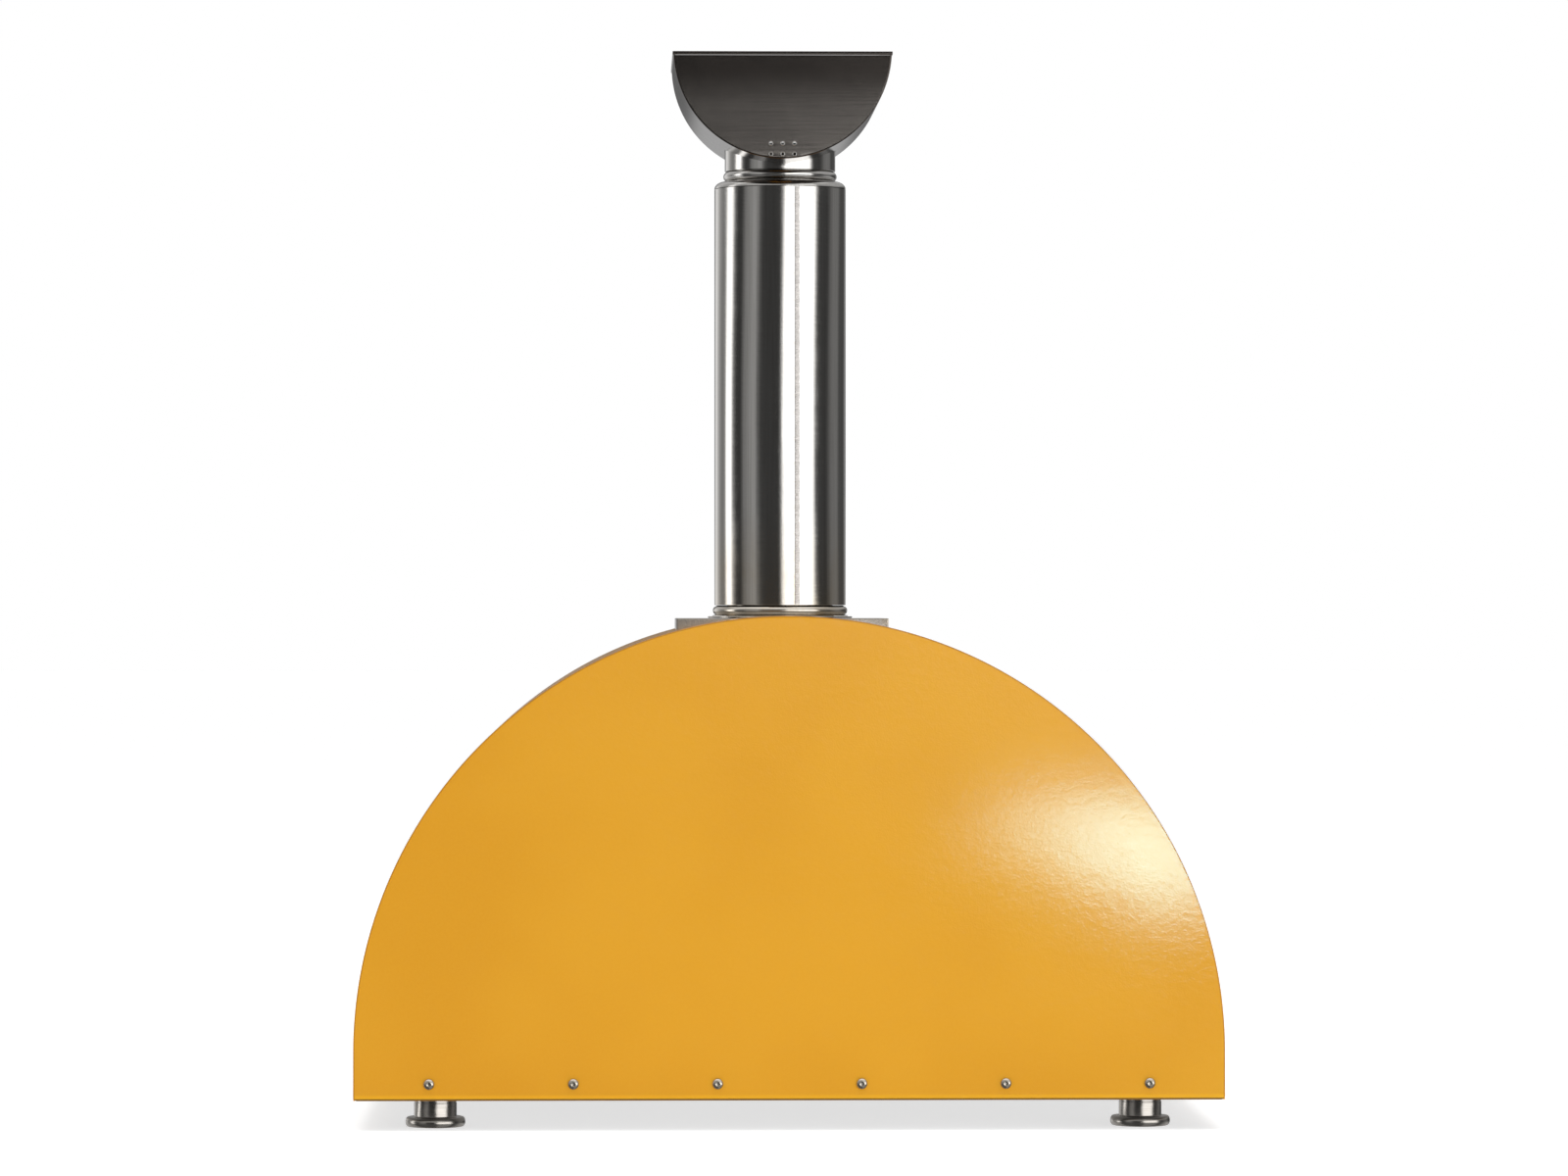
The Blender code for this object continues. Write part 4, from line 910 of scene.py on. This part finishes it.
def make_rear_plate():
    """Flat plate inside the trough's rounded edge, with two rows of three small holes and their eyelets."""
    low, high, _ = span("cap_back_plate")
    trough_low, trough_high, _ = span("cap_trough")
    outline = cowl_arc((trough_high.x - trough_low.x) / 2.0 - COWL_EDGE - FIT, high.z)
    centres = [(step * HOLE_PITCH, trough_low.z + rise) for rise in HOLE_ROWS for step in (-1.0, 0.0, 1.0)]
    hole, rolled = 0.0015, 0.0004
    holes = [circle(x, z, hole, 16) for x, z in centres]
    obj = flat_plate("cap_rear_plate_sheet", [outline] + holes, low.y, high.y - FIT, edge=0.0003)
    settle(obj, "cowl", "cowl_steel", "cowl", "cap_back_plate")
    rim = circle(hole + 0.0002, high.y - rolled, rolled, 12)
    for index, centre in enumerate(centres):
        eyelet = turned(f"cap_hole_rim_{index + 1}", rim, centre, axis="Y", steps=24, ring=True)
        settle(eyelet, "cowl", "cowl_steel", "flue")


# ---------- door
def make_door():
    """Outer panel, inner pan, handle and thermometer."""
    low, high, _ = span("door_outer_panel")
    _, _, dial = span("thermometer_dial")
    outlines = [half_moon(high.z - arch_centre(), low.z), circle(dial.x, dial.z, STEM_HOLE)]
    obj = flat_plate("door_panel_sheet", outlines, low.y, high.y, edge=0.0005)
    settle(obj, "door", "door_steel", "door", "door_outer_panel")
    dress("door_inner_pan", "door", edge=0.0008)
    for side in ("left", "right"):
        dress("door_handle_bracket_" + side, "fitting", edge=0.0005)
    make_grip()
    make_thermometer()


def make_grip():
    """Turned wooden grip with a gentle swell and a groove near each end."""
    low, high, middle = span("door_handle_grip")
    radius, half = (high.z - low.z) / 2.0, (high.x - low.x) / 2.0
    bore, corner, flat = 0.0026, 0.0012, 0.80 * (high.z - low.z) / 2.0
    profile = [(0.0, low.x), (bore, low.x)] + arc(flat, low.x + corner, corner, -90.0, 0.0, 4)
    stations = 64
    for step in range(1, stations):
        share = -1.0 + 2.0 * step / stations
        swell = radius * (0.90 + 0.10 * math.cos(share * math.pi / 2.0) ** 0.7)
        for groove in (-0.86, 0.86):
            swell -= 0.0008 * math.exp(-((share - groove) / 0.012) ** 2)
        profile.append((swell, middle.x + share * (half - 0.0030)))
    profile += arc(flat, high.x - corner, corner, 0.0, 90.0, 4) + [(bore, high.x), (0.0, high.x)]
    obj = turned("door_grip_turning", profile, (middle.y, middle.z), axis="X", steps=72)
    settle(obj, "door", "grip_wood", "wood", "door_handle_grip")


def make_thermometer():
    """Case with a rounded bezel, printed dial, needle, domed lens and probe."""
    low, high, middle = span("thermometer_case")
    centre = (middle.x, middle.z)
    radius, corner = (high.x - low.x) / 2.0, 0.0022
    bezel, bore, seat, wall = 0.0280, 0.0302, 0.0290, 0.0012
    front, back = low.y, high.y
    profile = [(STEM_HOLE, back), (radius, back)]
    profile += arc(radius - corner, front + corner, corner, 0.0, -90.0, 6)
    profile += [(bezel + 0.0008, front + 0.0004), (bezel, front + 0.0012), (bezel, front + 0.0018)]
    profile += [(bore, front + 0.0019), (bore, back - 0.0027), (seat, back - 0.0027)]
    profile += [(seat, back - wall), (STEM_HOLE, back - wall)]
    obj = turned("thermometer_case_spinning", profile, centre, axis="Y", ring=True)
    settle(obj, "door", "door_steel", "fitting", "thermometer_case")

    low, high, _ = span("thermometer_dial")
    radius, bore, edge = (high.x - low.x) / 2.0, 0.0012, 0.0002
    profile = [(bore, high.y), (radius - edge, high.y), (radius, low.y + edge)]
    profile += [(radius - edge, low.y), (bore, low.y)]
    obj = turned("thermometer_dial_disc", profile, centre, axis="Y", ring=True)
    settle(obj, "door", "dial_face", "dial", "thermometer_dial")
    make_dial_print(centre, low.y)
    make_needle(centre)

    low, high, _ = span("thermometer_lens")
    radius = (high.x - low.x) / 2.0
    profile = [(radius * share, high.y) for share in (0.0, 0.5, 0.97)]
    profile += [(radius, high.y - 0.0003), (radius, low.y + 0.0009)]
    for step in range(1, 9):
        share = 1.0 - step / 8.0
        profile.append((radius * 0.98 * share, low.y + 0.0006 * share * share))
    obj = turned("thermometer_lens_glass", profile, centre, axis="Y", steps=96)
    settle(obj, "door", "lens_glass", "lens", "thermometer_lens")
    dress("thermometer_probe", "screw")


def dial_direction(share):
    """Unit (x, z) direction of a reading on the dial, 0 at the left stop and 1 at the right."""
    turn = math.radians(NEEDLE_REST - DIAL_SWEEP * share)
    return (-math.sin(turn), math.cos(turn))


def make_dial_print(centre, face_y):
    """Scale marks and figures, as thin raised print on the dial."""
    front, outer, places = face_y - 0.00006, 0.0268, 50
    shape = bmesh.new()
    for index in range(places + 1):
        major = index % 5 == 0
        inner = outer - (0.0036 if major else 0.0018)
        half = 0.00032 if major else 0.00014
        dx, dz = dial_direction(index / places)
        rows = []
        for y in (face_y, front):
            row = []
            for reach, side in ((inner, -half), (outer, -half), (outer, half), (inner, half)):
                row.append((centre[0] + dx * reach - dz * side, y, centre[1] + dz * reach + dx * side))
            rows.append(row)
        capped(shape, rows)
    settle(as_object("thermometer_dial_marks", shape), "door", "needle_paint", "ink")
    reach = 0.0195
    for reading in range(0, DIAL_FULL_SCALE + 1, 100):
        dx, dz = dial_direction(reading / DIAL_FULL_SCALE)
        figure(str(reading), centre[0] + dx * reach, centre[1] + dz * reach, 0.0046, front, face_y)
    figure("C", centre[0], centre[1] - 0.0150, 0.0050, front, face_y)


def figure(text, x, z, size, front, back):
    """A printed figure on the dial."""
    curve = bpy.data.curves.new("figure_" + text, "FONT")
    curve.body = text
    curve.size = size
    curve.align_x = "CENTER"
    curve.align_y = "CENTER"
    curve.extrude = (back - front) / 2.0
    obj = stand_up("thermometer_figure_" + text, curve, x, z, front, back)
    settle(obj, "door", "needle_paint", "ink")


def make_needle(centre):
    """Tapered pointer and its counterweight, apart for the probe's spindle, and a domed hub round that."""
    low, high, _ = span("thermometer_needle")
    front, back = low.y, high.y
    dx, dz = dial_direction(0.0)
    pointer = [(0.0009, 0.0015), (0.00062, 0.0100), (0.00022, 0.0238)]
    tail = [(0.0009, -0.0015), (0.0009, -0.0040), (0.0016, -0.0078)]
    shape = bmesh.new()
    for side in (pointer, tail):
        rows = []
        for y in (front + 0.0001, back):
            row = []
            for across, reach in side + [(-across, reach) for across, reach in reversed(side)]:
                row.append((centre[0] + dz * across + dx * reach, y, centre[1] - dx * across + dz * reach))
            rows.append(row)
        capped(shape, rows)
    hub, bore = 0.0027, 0.0011
    profile = [(bore, back), (hub, back), (hub, front + 0.0002), (hub * 0.9, front), (bore, front)]
    grid(shape, spun_rows(profile, centre, "Y", 48), wrap_rows=True, wrap_columns=True)
    settle(as_object("thermometer_pointer", shape), "needle", "needle_paint", "needle", "thermometer_needle")


# ---------- studio
def make_floor():
    """Plain pale floor."""
    shape = bmesh.new()
    bmesh.ops.create_grid(shape, x_segments=1, y_segments=1, size=40.0)
    floor = as_object("studio_floor", shape)
    glow = {"Emission_Color": (1.0, 1.0, 1.0, 1.0), "Emission_Strength": 0.61}
    finish = Finish("studio_floor", (0.94, 0.94, 0.94), 0.9, Specular_IOR_Level=0.0, **glow)
    floor.data.materials.append(finish.material)
    floor.visible_glossy = False


# Brightness of the studio round the oven: degrees from the camera's side, towards -X, and the level
STUDIO = (
    (-180.0, 0.07), (-172.0, 0.09), (-164.0, 0.70), (-152.0, 1.00), (-134.0, 0.40), (-122.0, 0.24),
    (-114.0, 0.36), (-107.5, 2.40), (-99.0, 2.40), (-92.0, 0.25), (-84.0, 0.05), (-74.0, 0.05),
    (-67.0, 0.26), (-60.0, 0.30), (-46.0, 0.42), (-41.0, 0.15), (-34.0, 0.055), (-3.0, 0.05),
    (1.0, 0.30), (5.0, 2.40), (57.0, 2.40), (62.0, 0.80), (65.5, 0.07), (88.0, 0.05),
    (96.0, 0.15), (101.0, 0.21), (118.0, 0.22), (127.0, 0.09), (148.0, 0.08), (158.0, 0.34),
    (168.0, 0.08), (180.0, 0.07),
)
STUDIO_PEAK = 2.4
UPPER_WALL = 0.55              # level above the bands
CEILING = 1.35
DIFFUSE_SHARE = 0.42           # how much of the world the diffuse rays see


def make_world():
    """Soft studio: white to the camera, bands of light and shade round the oven for everything else."""
    world = bpy.data.worlds.new("studio")
    bpy.context.scene.world = world
    world.use_nodes = True
    world.node_tree.nodes.clear()
    sky = Nodes(world.node_tree)
    parts = sky.add("SeparateXYZ", {"Vector": sky.add("TexCoord").outputs["Generated"]}).outputs
    rise = sky.maths("DEGREES", sky.maths("ARCSINE", parts["Z"]))

    # The bands, which slide sideways a little above and below the oven's own height
    turn = sky.maths("DEGREES", sky.maths("ARCTAN2", sky.times(parts["X"], -1.0), parts["Y"]))
    slide = sky.plus(sky.ranged(rise, 2.0, 4.6, 0.0, 8.0), sky.ranged(rise, 0.2, -1.2, 0.0, 9.0))
    turn = sky.maths("SUBTRACT", sky.plus(turn, CAMERA_TURN), slide)
    share = sky.maths("FRACT", sky.maths("DIVIDE", sky.plus(turn, 180.0), 360.0))
    ramp = sky.add("ValToRGB", {"Fac": share})
    stops = ramp.color_ramp.elements
    while len(stops) < len(STUDIO):
        stops.new(0.5)
    for stop, (degrees, level) in zip(stops, STUDIO):
        stop.position = (degrees + 180.0) / 360.0
        stop.color = (*[level / STUDIO_PEAK] * 3, 1.0)
    walls = sky.times(ramp.outputs["Color"], STUDIO_PEAK)

    # They even out higher up, and give way to one tone straight ahead, on the ground and overhead
    walls = sky.blend(sky.ranged(rise, 7.0, 17.0, 0.0, 0.8), walls, UPPER_WALL)
    ahead = sky.ranged(parts["Y"], -0.93, -0.99)
    walls = sky.blend(ahead, walls, sky.ranged(rise, -0.2, 1.2, 0.50, 0.15))
    ground = sky.ranged(rise, -6.5, -13.0, 0.0, 0.9)
    walls = sky.blend(ground, walls, sky.ranged(parts["Y"], 0.1, -0.5, 0.11, 0.6))
    level = sky.blend(sky.ranged(rise, 38.0, 62.0), walls, CEILING)

    paths = sky.add("LightPath").outputs
    level = sky.blend(paths["Is Diffuse Ray"], level, sky.times(level, DIFFUSE_SHARE))
    level = sky.blend(paths["Is Camera Ray"], level, 1.0)
    background = sky.add("Background", {"Color": (1.0, 1.0, 1.0, 1.0), "Strength": level})
    sky.add("OutputWorld", {"Surface": background.outputs[0]}).is_active_output = True


def area_light(name, place, target, size, power, shiny=False, tint=(1.0, 1.0, 1.0)):
    """Soft rectangular light that the camera doesn't see."""
    light = bpy.data.lights.new(name, "AREA")
    light.shape = "RECTANGLE"
    light.size, light.size_y = size
    light.energy = power
    light.color = tint
    lamp = bpy.data.objects.new(name, light)
    lamp.location = place
    lamp.rotation_euler = (Vector(target) - Vector(place)).to_track_quat("-Z", "Y").to_euler()
    lamp.visible_camera = False
    lamp.visible_glossy = shiny
    bpy.context.scene.collection.objects.link(lamp)
    return lamp


def make_lights():
    """Overhead softbox, a key and a fill on each side of the oven, and the panel's gloss."""
    area_light("overhead_softbox", (0.0, 0.2, 3.2), (0.0, 0.0, 0.0), (3.4, 3.4), 36.0)
    for name, place, power in (
        ("rear_key", (-1.8, 3.2, 1.9), 12.0),
        ("rear_fill", (2.2, 3.0, 1.4), 1.5),
        ("front_key", (1.8, -3.2, 1.9), 9.0),
        ("front_fill", (-2.2, -3.0, 1.4), 3.0),
    ):
        area_light(name, place, (0.0, 0.0, 0.35), (2.2, 2.2), power)
    make_panel_gloss()


# The gloss on the panel: middle of its reflection (x, z), width and height there, and the light's level
PANEL_GLOSS = (
    ((-0.335, 0.234), (0.080, 0.090), 15.0),
    ((-0.272, 0.250), (0.062, 0.072), 14.5),
    ((-0.218, 0.260), (0.058, 0.052), 8.5),
    ((-0.168, 0.258), (0.050, 0.032), 3.6),
)
GLOSS_DISTANCE = 0.9
GLOSS_TINT = (0.42, 0.97, 1.05)


def make_panel_gloss():
    """Lights close to the panel, low on the camera's right, that only the panel sees: its wedge of gloss."""
    _, panel_high, _ = span("rear_panel")
    camera = bpy.context.scene.camera.location
    share = GLOSS_DISTANCE / CAMERA_DISTANCE
    receivers = bpy.data.collections.new("panel_gloss_receivers")
    receivers.objects.link(bpy.data.objects["rear_panel_sheet"])
    for index, ((x, z), (width, height), level) in enumerate(PANEL_GLOSS):
        place = (x - (camera.x - x) * share, panel_high.y + GLOSS_DISTANCE, z - (camera.z - z) * share)
        size = (width * (1.0 + share), height * (1.0 + share))
        power = level * math.pi * size[0] * size[1]
        name = f"panel_gloss_{index + 1}"
        lamp = area_light(name, place, (x, panel_high.y, z), size, power, True, GLOSS_TINT)
        lamp.light_linking.receiver_collection = receivers


def make_camera():
    """Camera behind the oven, a little above half its height."""
    _, panel_high, _ = span("rear_panel")
    turn = math.radians(CAMERA_TURN)
    data = bpy.data.cameras.new("camera")
    data.lens = CAMERA_LENS
    data.sensor_width = 36.0
    camera = bpy.data.objects.new("camera", data)
    bpy.context.scene.collection.objects.link(camera)
    away = Vector((math.sin(turn), math.cos(turn), 0.0)) * CAMERA_DISTANCE
    camera.location = Vector((0.0, panel_high.y, CAMERA_HEIGHT)) + away
    target = Vector((CAMERA_AIM[0], panel_high.y, CAMERA_HEIGHT + CAMERA_AIM[1]))
    camera.rotation_euler = (target - camera.location).to_track_quat("-Z", "Y").to_euler()
    bpy.context.scene.camera = camera


make_camera()
make_rear_panel()
make_shell()
make_facade()
make_shelf()
make_base()
make_chamber()
make_smoke_box()
make_flue()
make_cap()
make_door()
make_screws()
make_floor()
make_world()
make_lights()
bpy.context.scene.view_settings.view_transform = "Standard"
